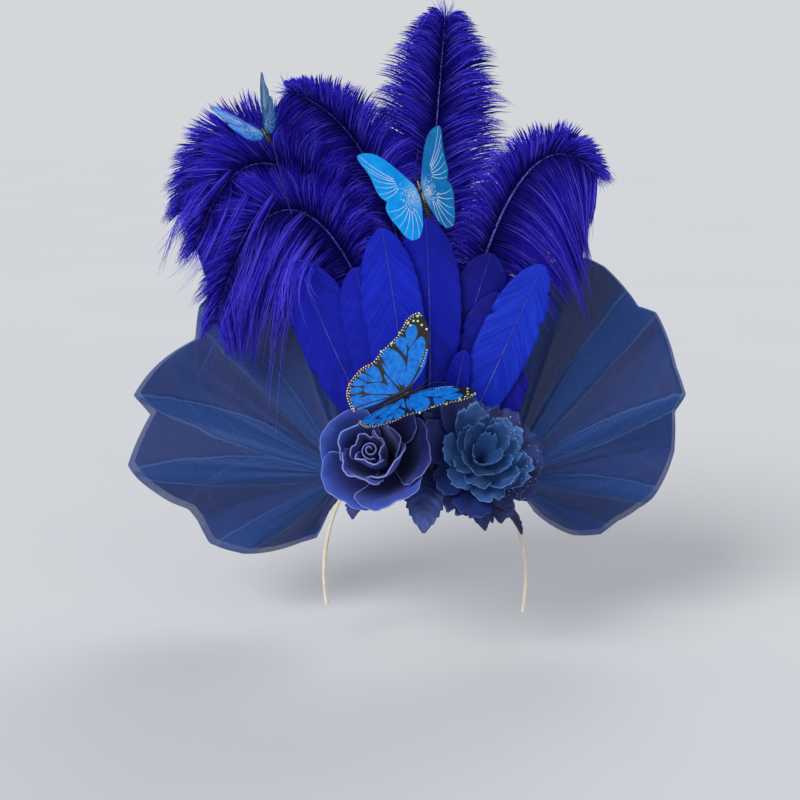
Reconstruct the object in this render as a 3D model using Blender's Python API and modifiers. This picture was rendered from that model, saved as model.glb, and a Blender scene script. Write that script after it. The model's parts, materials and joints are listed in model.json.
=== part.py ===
"""A showgirl headdress: a hair band and a felt pad that carry ostrich plumes, goose feathers, gathered
tulle fans, a foam rose, a silk peony and three wired butterflies.

Metres, +Z up. The origin is the crown of the head, on the underside of the band, and the wearer faces -Y.
"""

import math
from collections import namedtuple

import bmesh
import bpy
from mathutils import Matrix, Vector

for old in list(bpy.data.objects):
    bpy.data.objects.remove(old, do_unlink=True)

# The head that the band sits on, as a half ellipsoid below the crown
HEAD_WIDTH = 0.156
HEAD_DEPTH = 0.190
CROWN_HEIGHT = 0.110

# The hair band
BAND_WIDTH = 0.008
BAND_THICKNESS = 0.003
BAND_WRAP = 103.0

# The felt pad on top of the band: half its angle across the head, and its angles to the front and back
PAD_ACROSS = 54.0
PAD_FRONT = 33.0
PAD_BACK = 15.0
PAD_THICKNESS = 0.0025

# What touches keeps this gap, because the meshes are faceted
SEAT_GAP = 0.0003
FACET_SAG = 0.0006

# Ostrich plumes
PLUME_HEIGHT = 0.345
BARB_LENGTH = 0.075
PLUME_CORE = 0.006
PLUME_EDGE = 0.002
PLUME_PITCH = 0.009
QUILL_WIDTH = 0.003
QUILL_DEPTH = 0.0024

# Goose feathers
GOOSE_LENGTH = 0.180
GOOSE_WIDTH = 0.040
GOOSE_QUILL = 0.0022
GOOSE_EDGE = 0.001
GOOSE_PITCH = 0.0036
GOOSE_CAMBER = 0.0010

# All feathers curl forward together: this far at the height of the tallest plume
FORWARD_CURL = 0.060
ROOT_SPREAD = 0.35

# Tulle fans
TULLE_REACH = 0.175
TULLE_THICKNESS = 0.001
TULLE_PLEAT = 0.009
TULLE_GATHER = 0.003
TULLE_BACK = 0.037

# The foam rose
ROSE_RADIUS = 0.041
ROSE_HEIGHT = 0.036
ROSE_SHEET = 0.001
ROSE_CALYX = 0.014

# The silk peony
PEONY_RADIUS = 0.049
PEONY_HEIGHT = 0.030
PEONY_SHEET = 0.001
PEONY_CALYX = 0.015
PEONY_STACK = 0.0015

# Leaves round the flowers
LEAF_LENGTH = 0.040
LEAF_WIDTH = 0.024
LEAF_SHEET = 0.001

# Butterflies
WING_SHEET = 0.0008
STEM_RADIUS = 0.0006
STEM_HEIGHT = 0.035

MERGE = 0.00001

headdress = bpy.data.collections.new("feather_headdress")
bpy.context.scene.collection.children.link(headdress)


# Shared ways of making a piece


def painted(name, colour, roughness, metallic=0.0):
    """A Principled material of one colour."""
    material = bpy.data.materials.get(name) or bpy.data.materials.new(name)
    material.use_nodes = True
    shader = material.node_tree.nodes["Principled BSDF"]
    shader.inputs["Base Color"].default_value = (*colour, 1.0)
    shader.inputs["Roughness"].default_value = roughness
    shader.inputs["Metallic"].default_value = metallic
    return material


def placed(name, mesh, material):
    """An object of that mesh, in the headdress's collection."""
    piece = bpy.data.objects.new(name, mesh)
    headdress.objects.link(piece)
    mesh.materials.append(material)
    return piece


def walled(piece, thickness, side, share_at_edge=None):
    """Gives an open surface its thickness: side is -1, 0 or 1 for which side of the surface it grows on."""
    wall = piece.modifiers.new("wall", "SOLIDIFY")
    wall.thickness = thickness
    wall.offset = side
    if share_at_edge is not None:
        wall.vertex_group = "thick"
        wall.thickness_vertex_group = share_at_edge
    return wall


def shaped_sheet(name, columns, rows, surface, thickness, material, side=0, loop=False, thick=None):
    """A sheet whose points are surface(across, along), both from 0 to 1, with a wall of that thickness.

    thick(across, along), where it is given, is 1 where the wall is whole, and less where it thins out.
    """
    shape = bmesh.new()
    bmesh.ops.create_grid(shape, x_segments=columns, y_segments=rows, size=0.5)
    shares = [(point.co.x + 0.5, point.co.y + 0.5) for point in shape.verts]
    for point, (across, along) in zip(shape.verts, shares):
        point.co = surface(across, along)
    if loop:
        bmesh.ops.remove_doubles(shape, verts=shape.verts, dist=MERGE)
    mesh = bpy.data.meshes.new(name)
    shape.to_mesh(mesh)
    shape.free()
    piece = placed(name, mesh, material)
    if thick is None:
        walled(piece, thickness, side)
        return piece
    group = piece.vertex_groups.new(name="thick")
    for number, (across, along) in enumerate(shares):
        group.add([number], thick(across, along), "REPLACE")
    walled(piece, thickness, side, 0.0)
    return piece


def bezier(points, along):
    """The point and the direction of a cubic curve, in the plane of its four points."""
    first, second, third, last = points
    left = 1.0 - along
    place = (
        first * left**3
        + second * (3 * left**2 * along)
        + third * (3 * left * along**2)
        + last * along**3
    )
    heading = (
        (second - first) * (3 * left**2)
        + (third - second) * (6 * left * along)
        + (last - third) * (3 * along**2)
    )
    return place, heading.normalized()


def skull_point(across, forward, lift):
    """A point that far above the head, at angles in degrees from the crown to the ear and to the front."""
    across, forward = math.radians(across), math.radians(forward)
    return Vector(
        (
            (HEAD_WIDTH / 2 + lift) * math.sin(across),
            -(HEAD_DEPTH / 2 + lift) * math.cos(across) * math.sin(forward),
            (CROWN_HEIGHT + lift) * math.cos(across) * math.cos(forward) - CROWN_HEIGHT,
        )
    )


def skull_normal(across, forward):
    """The way out of the head at those angles."""
    place = skull_point(across, forward, 0.0)
    return Vector(
        (
            place.x / (HEAD_WIDTH / 2) ** 2,
            place.y / (HEAD_DEPTH / 2) ** 2,
            (place.z + CROWN_HEIGHT) / CROWN_HEIGHT**2,
        )
    ).normalized()


def dome_height(x, y, lift):
    """The height of the head's dome, raised by lift, over a point of the plan."""
    wide, deep = HEAD_WIDTH / 2 + lift, HEAD_DEPTH / 2 + lift
    return (CROWN_HEIGHT + lift) * math.sqrt(1 - (x / wide) ** 2 - (y / deep) ** 2) - CROWN_HEIGHT


def facing(turn, tilt):
    """The unit vector to the wearer's front, turned to the left ear and tilted up, in degrees."""
    turn, tilt = math.radians(turn), math.radians(tilt)
    return Vector((math.sin(turn) * math.cos(tilt), -math.cos(turn) * math.cos(tilt), math.sin(tilt)))


def frame_along(origin, axis, spin=0.0):
    """The matrix of a frame whose +Z is the axis, turned about it by spin degrees."""
    turn = axis.to_track_quat("Z", "Y").to_matrix().to_4x4()
    return Matrix.Translation(origin) @ turn @ Matrix.Rotation(math.radians(spin), 4, "Z")


# The hair band: a plastic arch wrapped in cream ribbon, from behind one temple over the crown to the other


def band_surface(across, along):
    angle = math.radians(BAND_WRAP) * (2 * along - 1)
    return Vector(
        (
            HEAD_WIDTH / 2 * math.sin(angle),
            BAND_WIDTH * (0.5 - across),
            CROWN_HEIGHT * (math.cos(angle) - 1),
        )
    )


def hair_band():
    cream = painted("cream_ribbon", (0.86, 0.82, 0.70), 0.45)
    band = shaped_sheet("hair_band", 1, 28, band_surface, BAND_THICKNESS, cream, side=1)
    rounding = band.modifiers.new("rounding", "BEVEL")
    rounding.width = BAND_THICKNESS * 0.25
    rounding.segments = 1
    rounding.limit_method = "ANGLE"
    rounding.angle_limit = math.radians(60)


# The felt pad: a saddle over the band that everything else is glued to

PAD_INSIDE = BAND_THICKNESS + SEAT_GAP + FACET_SAG
PAD_OUTSIDE = PAD_INSIDE + PAD_THICKNESS
PAD_SEAT = PAD_OUTSIDE + SEAT_GAP


def pad_surface(across, along):
    """A grid carried onto an oval, so that the pad has no corners."""
    side, ahead = 2 * across - 1, 2 * along - 1
    oval_side = side * math.sqrt(1 - ahead**2 / 2)
    oval_ahead = ahead * math.sqrt(1 - side**2 / 2)
    middle, reach = (PAD_FRONT - PAD_BACK) / 2, (PAD_FRONT + PAD_BACK) / 2
    return skull_point(PAD_ACROSS * oval_side, middle + reach * oval_ahead, PAD_INSIDE)


def felt_pad():
    felt = painted("navy_felt", (0.015, 0.02, 0.09), 0.95)
    shaped_sheet("felt_pad", 12, 7, pad_surface, PAD_THICKNESS, felt, side=-1)


# Feathers stand in layers, one behind another. Layers behind the band draw together towards their roots.


def layer_depth(depth, height):
    """How far back a layer is at that height: all layers curl forward alike, so they never cross."""
    rise = min(1.0, max(0.0, height / (PLUME_HEIGHT * 0.3)))
    spread = ROOT_SPREAD + (1 - ROOT_SPREAD) * rise if depth > 0 else 1.0
    return depth * spread - FORWARD_CURL * (height / PLUME_HEIGHT) ** 3


def root_height(x, depth, wide, deep):
    """How high a quill of that width and depth stands on the pad, with its uphill corner just clear of it."""
    uphill_x = max(0.0, abs(x) - wide / 2)
    uphill_y = max(0.0, abs(layer_depth(depth, 0.0)) - deep / 2)
    return dome_height(uphill_x, uphill_y, PAD_OUTSIDE + SEAT_GAP / 2)


# Goose feathers: flat satin vanes with a round tip. Sizes are shares of the goose feather's length.

Goose = namedtuple("Goose", "name layer root_x bend_x bend_z tip_x tip_z width")
GOOSE_FEATHERS = (
    Goose("goose_centre_left", 0, -0.050, -0.09, 0.50, -0.165, 0.92, 1.15),
    Goose("goose_centre", 2, 0.020, 0.04, 0.55, 0.010, 0.955, 1.30),
    Goose("goose_right_dark", 4, 0.070, 0.17, 0.50, 0.275, 0.815, 1.20),
    Goose("goose_right_inner", 3, 0.120, 0.22, 0.35, 0.310, 0.655, 0.95),
    Goose("goose_right_light", 1, 0.150, 0.33, 0.40, 0.485, 0.775, 1.05),
    Goose("goose_right_tuft", 0, 0.100, 0.14, 0.28, 0.175, 0.42, 0.45),
    Goose("goose_right_low", 2, 0.190, 0.34, 0.20, 0.400, 0.345, 0.70),
    Goose("goose_left_inner", 1, -0.100, -0.20, 0.45, -0.280, 0.755, 1.20),
    Goose("goose_left_outer", 2, -0.160, -0.38, 0.35, -0.520, 0.780, 1.30),
)
GOOSE_LAYERS = 4
GOOSE_FRONT = 0.006 + GOOSE_PITCH * GOOSE_LAYERS


def vane_width(along):
    """Half the vane's width along a goose feather: a bare quill, a broad blade and a blunt tip."""
    blade = max(0.0, (along - 0.12) / 0.88)
    swell = math.sin(math.pi / 2 * min(1.0, blade / 0.45)) ** 0.8
    tip = math.sqrt(max(0.0, 1 - (max(0.0, blade - 0.70) / 0.31) ** 2.4))
    return swell * tip


def goose_surface(feather):
    depth = -(GOOSE_FRONT - GOOSE_PITCH * feather.layer)
    root_x = feather.root_x * GOOSE_LENGTH
    root = Vector((root_x, root_height(root_x, depth, GOOSE_QUILL, GOOSE_QUILL)))
    bend = Vector((feather.bend_x, feather.bend_z)) * GOOSE_LENGTH
    tip = Vector((feather.tip_x, feather.tip_z)) * GOOSE_LENGTH
    line = (root, root.lerp(bend, 0.67), tip.lerp(bend, 0.5), tip)

    def surface(across, along):
        place, heading = bezier(line, along)
        side = 2 * across - 1
        half = max(GOOSE_QUILL / 2, GOOSE_WIDTH / 2 * feather.width * vane_width(along))
        sideways = Vector((heading.y, -heading.x))
        swept = place + sideways * (side * half) - heading * (0.20 * abs(side) * half)
        back = GOOSE_CAMBER * side**2 * min(1.0, half / GOOSE_WIDTH * 2)
        return Vector((swept.x, layer_depth(depth, swept.y) + back, swept.y))

    return surface


def goose_feathers():
    royal = painted("royal_goose", (0.0, 0.015, 0.42), 0.5)
    for feather in GOOSE_FEATHERS:
        shaped_sheet(
            feather.name,
            4,
            8,
            goose_surface(feather),
            GOOSE_QUILL,
            royal,
            thick=lambda across, along: max(GOOSE_EDGE / GOOSE_QUILL, 1 - abs(2 * across - 1) * 1.2),
        )


# Ostrich plumes: a quill with soft barbs that droop in locks. Lengths are shares of the plume's height,
# barbs of the barb length, and droops of each barb's own length.

Plume = namedtuple("Plume", "name layer root_x line left right left_droop right_droop locks")
PLUMES = (
    Plume(
        "plume_right", 0, 0.050, ((0.083, 0.35), (0.205, 0.77), (0.36, 0.59)),
        0.57, 1.05, 0.10, 0.40, 12,
    ),
    Plume(
        "plume_left_low", 1, -0.065, ((-0.12, 0.46), (-0.33, 0.74), (-0.475, 0.26)),
        0.86, 0.75, 0.78, 0.15, 12,
    ),
    Plume(
        "plume_left_middle", 2, -0.040, ((-0.10, 0.50), (-0.38, 0.84), (-0.52, 0.42)),
        1.05, 0.75, 0.60, 0.20, 12,
    ),
    Plume(
        "plume_upper_left", 3, -0.020, ((-0.03, 0.40), (-0.10, 0.70), (-0.29, 0.76)),
        0.85, 0.75, 0.35, 0.10, 12,
    ),
    Plume(
        "plume_centre", 4, 0.005, ((-0.02, 0.35), (0.015, 0.67), (0.040, 0.905)),
        1.02, 0.98, 0.12, 0.15, 13,
    ),
    Plume(
        "plume_left_high", 5, -0.050, ((-0.12, 0.50), (-0.40, 0.90), (-0.57, 0.50)),
        0.82, 0.70, 0.35, 0.10, 12,
    ),
)
PLUME_FRONT = 0.004
VANE_START = 0.24
BARE_ROWS = 3
VALLEY = 0.66


def plume_line(plume):
    """The quill's curve, from the pad to the tip."""
    depth = PLUME_FRONT + PLUME_PITCH * plume.layer
    root_x = plume.root_x * PLUME_HEIGHT
    root = Vector((root_x, root_height(root_x, depth, QUILL_WIDTH, QUILL_DEPTH)))
    return (root, *(Vector(point) * PLUME_HEIGHT for point in plume.line))


def quill_turn(line, side, vane, heading):
    """The angle from upright that a barb leans from. On the inner side of the bend it grows evenly,

    so that no barb crosses the next.
    """
    first = bezier(line, VANE_START)[1]
    last = bezier(line, 1.0)[1]
    start = math.atan2(first.x, first.y)
    bend = math.atan2(last.x, last.y) - start
    if bend * side > 0:
        return start + bend * vane
    return math.atan2(heading.x, heading.y)


def barb_point(plume, line, side, along, out):
    """A point of the vane: along the quill, and out along the barb on that side, from 0 to 1."""
    place, heading = bezier(line, along)
    vane = max(0.0, (along - VANE_START) / (1 - VANE_START))
    length = BARB_LENGTH * (plume.left if side < 0 else plume.right)
    length *= math.sin(math.pi * (0.12 + 0.85 * vane)) ** 0.7
    angle = quill_turn(line, side, vane, heading) + side * math.radians(75 - 45 * vane)
    barb = Vector((math.sin(angle), math.cos(angle))) * (length * out)
    droop = (plume.left_droop if side < 0 else plume.right_droop) * length * out**2
    return place + barb - Vector((0.0, droop))


def plume_surface(plume):
    depth = PLUME_FRONT + PLUME_PITCH * plume.layer
    line = plume_line(plume)
    rows = BARE_ROWS + 2 * plume.locks

    def surface(across, along):
        side = 2 * across - 1
        row = round(along * rows)
        if row < BARE_ROWS:
            place, heading = bezier(line, VANE_START * row / BARE_ROWS)
            spot = place + Vector((heading.y, -heading.x)) * (side * QUILL_WIDTH / 2)
        else:
            share = VANE_START + (1 - VANE_START) * (row - BARE_ROWS) / (rows - BARE_ROWS)
            reach = 1.0 if (row - BARE_ROWS) % 2 else VALLEY
            spot = barb_point(plume, line, -1 if side < 0 else 1, share, abs(side) * reach)
        return Vector((spot.x, layer_depth(depth, spot.y), spot.y))

    return surface


def plume_thickness(plume):
    rows = BARE_ROWS + 2 * plume.locks

    def thick(across, along):
        row = round(along * rows)
        if row < BARE_ROWS:
            return QUILL_DEPTH / PLUME_CORE
        return max(PLUME_EDGE / PLUME_CORE, 1 - abs(2 * across - 1))

    return thick


def ostrich_plumes():
    ultramarine = painted("ultramarine_ostrich", (0.02, 0.01, 0.42), 0.75)
    for plume in PLUMES:
        rows = BARE_ROWS + 2 * plume.locks
        shaped_sheet(
            plume.name,
            4,
            rows,
            plume_surface(plume),
            PLUME_CORE,
            ultramarine,
            thick=plume_thickness(plume),
        )


# Tulle fans: each is a round of net folded double and gathered at the pad's side. The outline is a table
# of angles up from the level, in degrees, and shares of the reach.

LEFT_OUTLINE = (
    (-65, 0.41), (-39, 0.69), (-31, 0.80), (-18, 0.84), (-14, 0.91), (-2, 1.07), (11, 0.98), (15, 1.07),
    (37, 0.92), (44, 1.02), (65, 1.07), (80, 0.95), (93, 0.70),
)
RIGHT_OUTLINE = (
    (-59, 0.26), (-35, 0.54), (-16, 0.62), (6, 0.77), (20, 0.81), (24, 0.88), (32, 0.89), (47, 0.95),
    (52, 0.92), (65, 1.00), (70, 1.01), (82, 0.92), (94, 0.68),
)
Tulle = namedtuple("Tulle", "name hand outline layer pleats phase reach")
TULLES = (
    Tulle("tulle_left_front", -1, LEFT_OUTLINE, 0, 4.5, 0.3, 1.0),
    Tulle("tulle_left_back", -1, LEFT_OUTLINE, 1, 4.5, 0.3, 0.94),
    Tulle("tulle_right_front", 1, RIGHT_OUTLINE, 0, 4.5, 1.9, 1.0),
    Tulle("tulle_right_back", 1, RIGHT_OUTLINE, 1, 4.5, 1.9, 0.94),
)
TULLE_SEAT = (46.0, -0.5)
TULLE_LAYER = 0.0026
TULLE_OPENING = 0.010


def read_outline(outline, share):
    """The angle and the reach of an outline, at that share of its angles."""
    angle = outline[0][0] + (outline[-1][0] - outline[0][0]) * share
    for (first, near), (last, far) in zip(outline, outline[1:]):
        if angle <= last:
            return angle, near + (far - near) * (angle - first) / (last - first)
    return angle, outline[-1][1]


def tulle_surface(tulle):
    centre = skull_point(TULLE_SEAT[0] * tulle.hand, TULLE_SEAT[1], PAD_SEAT + TULLE_GATHER * 0.35)

    def surface(across, along):
        angle, share = read_outline(tulle.outline, across)
        reach = TULLE_GATHER + (TULLE_REACH * share * tulle.reach - TULLE_GATHER) * along
        out = math.radians(angle)
        wave = math.sin(2 * math.pi * tulle.pleats * across + tulle.phase)
        lean = TULLE_BACK * (1 + 0.5 * max(0.0, math.sin(out)))
        depth = centre.y + lean * math.sin(math.pi / 2 * along)
        depth += tulle.layer * (TULLE_LAYER + TULLE_OPENING * along) + TULLE_PLEAT * wave * along
        return Vector(
            (centre.x + tulle.hand * reach * math.cos(out), depth, centre.z + reach * math.sin(out))
        )

    return surface


def tulle_fans():
    net = painted("navy_tulle", (0.01, 0.03, 0.14), 0.8)
    for tulle in TULLES:
        columns = round(4 * tulle.pleats)
        shaped_sheet(tulle.name, columns, 3, tulle_surface(tulle), TULLE_THICKNESS, net)


# The foam rose: petals in rings round a bud, each petal's left edge inside its neighbour's right edge


def flower_seat(across, forward, axis, foot, length):
    """Where a flower's frame starts: its calyx's foot, of that radius, clears the pad, and the petals start
    a calyx's length out from there."""
    normal = skull_normal(across, forward)
    tilt = math.acos(max(-1.0, min(1.0, normal.dot(axis))))
    foot_centre = skull_point(across, forward, PAD_SEAT) + normal * (foot * math.sin(tilt))
    return foot_centre, foot_centre + axis * length


def calyx(name, foot_centre, axis, foot, top, length, material):
    """The cone under a flower, from the pad to the lowest petals."""
    shape = bmesh.new()
    bmesh.ops.create_cone(
        shape,
        cap_ends=True,
        segments=16,
        radius1=foot,
        radius2=top,
        depth=length,
        matrix=Matrix.Translation((0, 0, length / 2)),
    )
    mesh = bpy.data.meshes.new(name)
    shape.to_mesh(mesh)
    shape.free()
    piece = placed(name, mesh, material)
    piece.matrix_world = frame_along(foot_centre, axis)


ROSE_SEAT = (-17.0, 27.0)
ROSE_AIM = (-9.0, 30.0)
ROSE_FOOT = 0.004
ROSE_TOP = 0.0135

# Radii are shares of the rose's radius and heights of its height, from the foot to the rim
Ring = namedtuple("Ring", "name petals spin spread foot profile")
ROSE_RINGS = (
    Ring("rose_inner", 3, 20, 78, 0.115, ((0.22, 0.25), (0.30, 0.75), (0.20, 1.04))),
    Ring("rose_middle", 4, 55, 62, 0.185, ((0.42, 0.12), (0.52, 0.70), (0.50, 0.98))),
    Ring("rose_outer", 5, 10, 50, 0.290, ((0.66, 0.02), (0.80, 0.44), (1.00, 0.66))),
)
ROSE_PINWHEEL = 0.0016


def rose_petal_surface(ring, number, frame):
    foot = Vector((ring.foot * ROSE_RADIUS, ROSE_SHEET / 2 + SEAT_GAP + ROSE_PINWHEEL * 0.55))
    line = (foot, *(Vector((r * ROSE_RADIUS, z * ROSE_HEIGHT)) for r, z in ring.profile))
    middle = math.radians(ring.spin + 360 / ring.petals * number)

    def surface(across, along):
        side = 2 * across - 1
        rounded = along * (1 - 0.20 * abs(side) ** 2.5 * along)
        place, heading = bezier(line, rounded)
        wide = 0.62 + 0.38 * math.sin(math.pi * min(1.0, 0.62 * along + 0.12))
        place += Vector((heading.y, -heading.x)) * (ROSE_PINWHEEL * side * (0.55 + 0.45 * along))
        angle = middle + math.radians(ring.spread) * wide * side
        return frame @ Vector((place.x * math.cos(angle), place.x * math.sin(angle), place.y))

    return surface


def foam_rose():
    violet = painted("violet_foam", (0.035, 0.05, 0.30), 0.6)
    axis = facing(*ROSE_AIM)
    foot_centre, heart = flower_seat(*ROSE_SEAT, axis, ROSE_FOOT, ROSE_CALYX)
    frame = frame_along(heart, axis)
    calyx("rose_calyx", foot_centre, axis, ROSE_FOOT, ROSE_TOP, ROSE_CALYX, violet)
    bud = bmesh.new()
    bmesh.ops.create_uvsphere(bud, u_segments=8, v_segments=6, radius=0.5)
    for point in bud.verts:
        share = point.co.z + 0.5
        slim = 0.20 * ROSE_RADIUS * (0.55 + 0.45 * share)
        point.co = Vector((point.co.x * slim, point.co.y * slim, SEAT_GAP + share * ROSE_HEIGHT * 0.9))
    mesh = bpy.data.meshes.new("rose_bud")
    bud.to_mesh(mesh)
    bud.free()
    placed("rose_bud", mesh, violet).matrix_world = frame
    for ring in ROSE_RINGS:
        for number in range(ring.petals):
            shaped_sheet(
                f"{ring.name}_petal_{number + 1}",
                5,
                4,
                rose_petal_surface(ring, number, frame),
                ROSE_SHEET,
                violet,
            )


# The silk peony: rounds of cloth cut into lobes, threaded on one stem and cupped more and more to the middle

PEONY_SEAT = (27.0, 24.0)
PEONY_AIM = (15.0, 34.0)
PEONY_FOOT = 0.004
PEONY_TOP = 0.010
PEONY_HOLE = 0.003
PEONY_CROWDED = 0.20

# Radius and height are shares of the peony's, and the notch is the share that is cut in between lobes
Tier = namedtuple("Tier", "name lobes spin radius height notch ruffle")
PEONY_TIERS = (
    Tier("peony_tier_1", 7, 0, 1.03, 0.06, 0.40, 0.050),
    Tier("peony_tier_2", 7, 26, 0.92, 0.30, 0.35, 0.060),
    Tier("peony_tier_3", 6, 10, 0.78, 0.62, 0.32, 0.070),
    Tier("peony_tier_4", 6, 40, 0.60, 0.85, 0.30, 0.070),
    Tier("peony_tier_5", 5, 5, 0.42, 0.98, 0.26, 0.060),
    Tier("peony_tier_6", 4, 20, 0.25, 0.95, 0.22, 0.030),
)
PEONY_CUP = 1.8


def tier_surface(tier, number, frame):
    hub = SEAT_GAP + PEONY_SHEET / 2 + number * PEONY_STACK

    def surface(across, along):
        angle = 2 * math.pi * across
        lobe = abs(math.sin(tier.lobes * angle / 2)) ** 0.6
        angle += math.radians(tier.spin)
        rim = PEONY_RADIUS * tier.radius * (1 - tier.notch * (1 - lobe))
        rim *= 1 - PEONY_CROWDED * max(0.0, -math.cos(angle)) ** 2
        radius = PEONY_HOLE + (rim - PEONY_HOLE) * along
        share = radius / (PEONY_RADIUS * tier.radius)
        height = hub + PEONY_HEIGHT * tier.height * share**PEONY_CUP
        height += PEONY_RADIUS * tier.ruffle * share**2 * math.sin(3 * angle + number)
        return frame @ Vector((radius * math.cos(angle), radius * math.sin(angle), height))

    return surface


def silk_peony():
    silk = painted("navy_silk", (0.02, 0.06, 0.24), 0.7)
    axis = facing(*PEONY_AIM)
    foot_centre, heart = flower_seat(*PEONY_SEAT, axis, PEONY_FOOT, PEONY_CALYX)
    frame = frame_along(heart, axis)
    calyx("peony_calyx", foot_centre, axis, PEONY_FOOT, PEONY_TOP, PEONY_CALYX, silk)
    for number, tier in enumerate(PEONY_TIERS):
        columns = tier.lobes * 3
        shaped_sheet(tier.name, columns, 3, tier_surface(tier, number, frame), PEONY_SHEET, silk, loop=True)


# Leaves: pointed silk leaves glued to the pad's front that lie over the forehead. Angles are in degrees.

Leaf = namedtuple("Leaf", "name across forward heading length width lift")
LEAVES = (
    Leaf("leaf_left", -41.0, 21.5, -45.0, 0.85, 0.9, 0.10),
    Leaf("leaf_under_rose", -29.0, 25.5, -8.0, 0.95, 0.9, 0.02),
    Leaf("leaf_middle", 4.0, 30.5, 1.0, 1.10, 1.1, 0.02),
    Leaf("leaf_right", 23.0, 27.5, 22.0, 1.05, 0.95, 0.02),
    Leaf("leaf_far_right", 42.0, 20.5, 38.0, 0.90, 0.9, 0.06),
)


def leaf_surface(leaf):
    """A leaf that follows the head's dome from its foot on the pad, lifting towards its point."""
    turn = math.radians(leaf.heading)
    degrees = math.degrees(LEAF_LENGTH * leaf.length / (HEAD_DEPTH / 2))

    def surface(across, along):
        side = 2 * across - 1
        half = 0.5 * LEAF_WIDTH / LEAF_LENGTH * leaf.width / leaf.length
        half *= max(0.12, math.sin(math.pi * min(1.0, 0.08 + 0.92 * along)) ** 0.8)
        ahead, beside = along * degrees, side * half * degrees
        lift = PAD_SEAT + LEAF_SHEET * 0.6 + leaf.lift * LEAF_LENGTH * (along + 0.5 * side**2 * along)
        return skull_point(
            leaf.across + ahead * math.sin(turn) * 1.3 + beside * math.cos(turn) * 1.3,
            leaf.forward + ahead * math.cos(turn) - beside * math.sin(turn),
            lift,
        )

    return surface


def silk_leaves():
    silk = painted("leaf_silk", (0.02, 0.07, 0.28), 0.65)
    for leaf in LEAVES:
        shaped_sheet(leaf.name, 4, 5, leaf_surface(leaf), LEAF_SHEET, silk)


# Butterflies: flat printed wings on a turned body, held up by one wire. Wing outlines are shares of the
# wing's length, sideways from the body and ahead towards the head.

ROUND_WING = (
    (0.08, 0.17), (0.19, 0.33), (0.32, 0.48), (0.46, 0.58), (0.57, 0.65), (0.70, 0.70), (0.83, 0.72),
    (0.93, 0.72), (0.99, 0.71), (1.01, 0.65), (1.00, 0.55), (0.96, 0.46), (0.87, 0.36), (0.81, 0.27),
    (0.78, 0.19), (0.75, 0.11), (0.72, 0.01), (0.67, -0.10), (0.61, -0.20), (0.62, -0.36), (0.57, -0.48),
    (0.51, -0.60), (0.42, -0.70), (0.33, -0.75), (0.21, -0.77), (0.08, -0.77), (0.05, -0.50), (0.0, -0.14),
    (0.0, 0.10),
)
SCALLOPED_WING = (
    (0.0, 0.10), (0.17, 0.33), (0.33, 0.53), (0.47, 0.68), (0.62, 0.80), (0.79, 0.86), (0.96, 0.87),
    (1.00, 0.82), (0.97, 0.71), (0.90, 0.58), (0.86, 0.44), (0.85, 0.30), (0.83, 0.17), (0.77, 0.07),
    (0.69, 0.02), (0.77, -0.05), (0.78, -0.14), (0.74, -0.28), (0.66, -0.43), (0.60, -0.58), (0.48, -0.70),
    (0.30, -0.70), (0.15, -0.54), (0.09, -0.39), (0.0, -0.12),
)
Butterfly = namedtuple(
    "Butterfly", "name place heading roll outline wing left_raise right_raise body colour"
)
BUTTERFLIES = (
    Butterfly(
        "butterfly_large", Vector((-0.0055, -0.082, 0.054)), Vector((0.87, 0.28, 0.41)),
        Vector((-0.08, -0.74, 0.67)), ROUND_WING, 0.052, 8.0, 36.0, 0.034, (0.0, 0.16, 0.58),
    ),
    Butterfly(
        "butterfly_middle", Vector((0.001, -0.050, 0.192)), Vector((-0.34, 0.07, 0.94)),
        Vector((0.27, -0.95, 0.17)), SCALLOPED_WING, 0.0425, 30.0, 66.0, 0.033, (0.0, 0.30, 0.75),
    ),
    Butterfly(
        "butterfly_small", Vector((-0.115, -0.022, 0.232)), Vector((-0.39, 0.86, 0.32)),
        Vector((-0.42, -0.47, 0.77)), SCALLOPED_WING, 0.035, 52.0, 52.0, 0.026, (0.0, 0.28, 0.66),
    ),
)
BODY_RADIUS = 0.0022
WING_ROOT = BODY_RADIUS * 0.93 + SEAT_GAP


def butterfly_frame(butterfly):
    """The matrix whose +Y is the way to the head, +Z the back, and +X the right wing."""
    ahead = butterfly.heading.normalized()
    right = ahead.cross(butterfly.roll).normalized()
    back = right.cross(ahead)
    turn = Matrix((right, ahead, back)).transposed().to_4x4()
    return Matrix.Translation(butterfly.place) @ turn


def wing(butterfly, name, hand, raised, material):
    outline = bpy.data.curves.new(name, "CURVE")
    outline.dimensions = "2D"
    outline.fill_mode = "BOTH"
    outline.extrude = WING_SHEET / 2
    edge = outline.splines.new("POLY")
    edge.points.add(len(butterfly.outline) - 1)
    for point, (out, ahead) in zip(edge.points, butterfly.outline):
        point.co = (hand * (WING_ROOT + out * butterfly.wing), ahead * butterfly.wing, 0.0, 1.0)
    edge.use_cyclic_u = True
    piece = bpy.data.objects.new(name, outline)
    headdress.objects.link(piece)
    outline.materials.append(material)
    tilt = Matrix.Rotation(math.radians(-hand * raised), 4, "Y")
    piece.matrix_world = butterfly_frame(butterfly) @ tilt


def butterfly_body(butterfly, name, material):
    """A thorax and a tapering abdomen, turned from one round."""
    shape = bmesh.new()
    bmesh.ops.create_uvsphere(shape, u_segments=8, v_segments=8, radius=0.5)
    for point in shape.verts:
        share = point.co.z + 0.5
        slim = 2 * BODY_RADIUS * (0.62 + 0.36 * math.sin(math.pi * min(1.0, share * 1.15)))
        point.co = Vector((point.co.x * slim, (share - 0.62) * butterfly.body, point.co.y * slim))
    bmesh.ops.recalc_face_normals(shape, faces=shape.faces)
    mesh = bpy.data.meshes.new(name)
    shape.to_mesh(mesh)
    shape.free()
    placed(name, mesh, material).matrix_world = butterfly_frame(butterfly)


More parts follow.
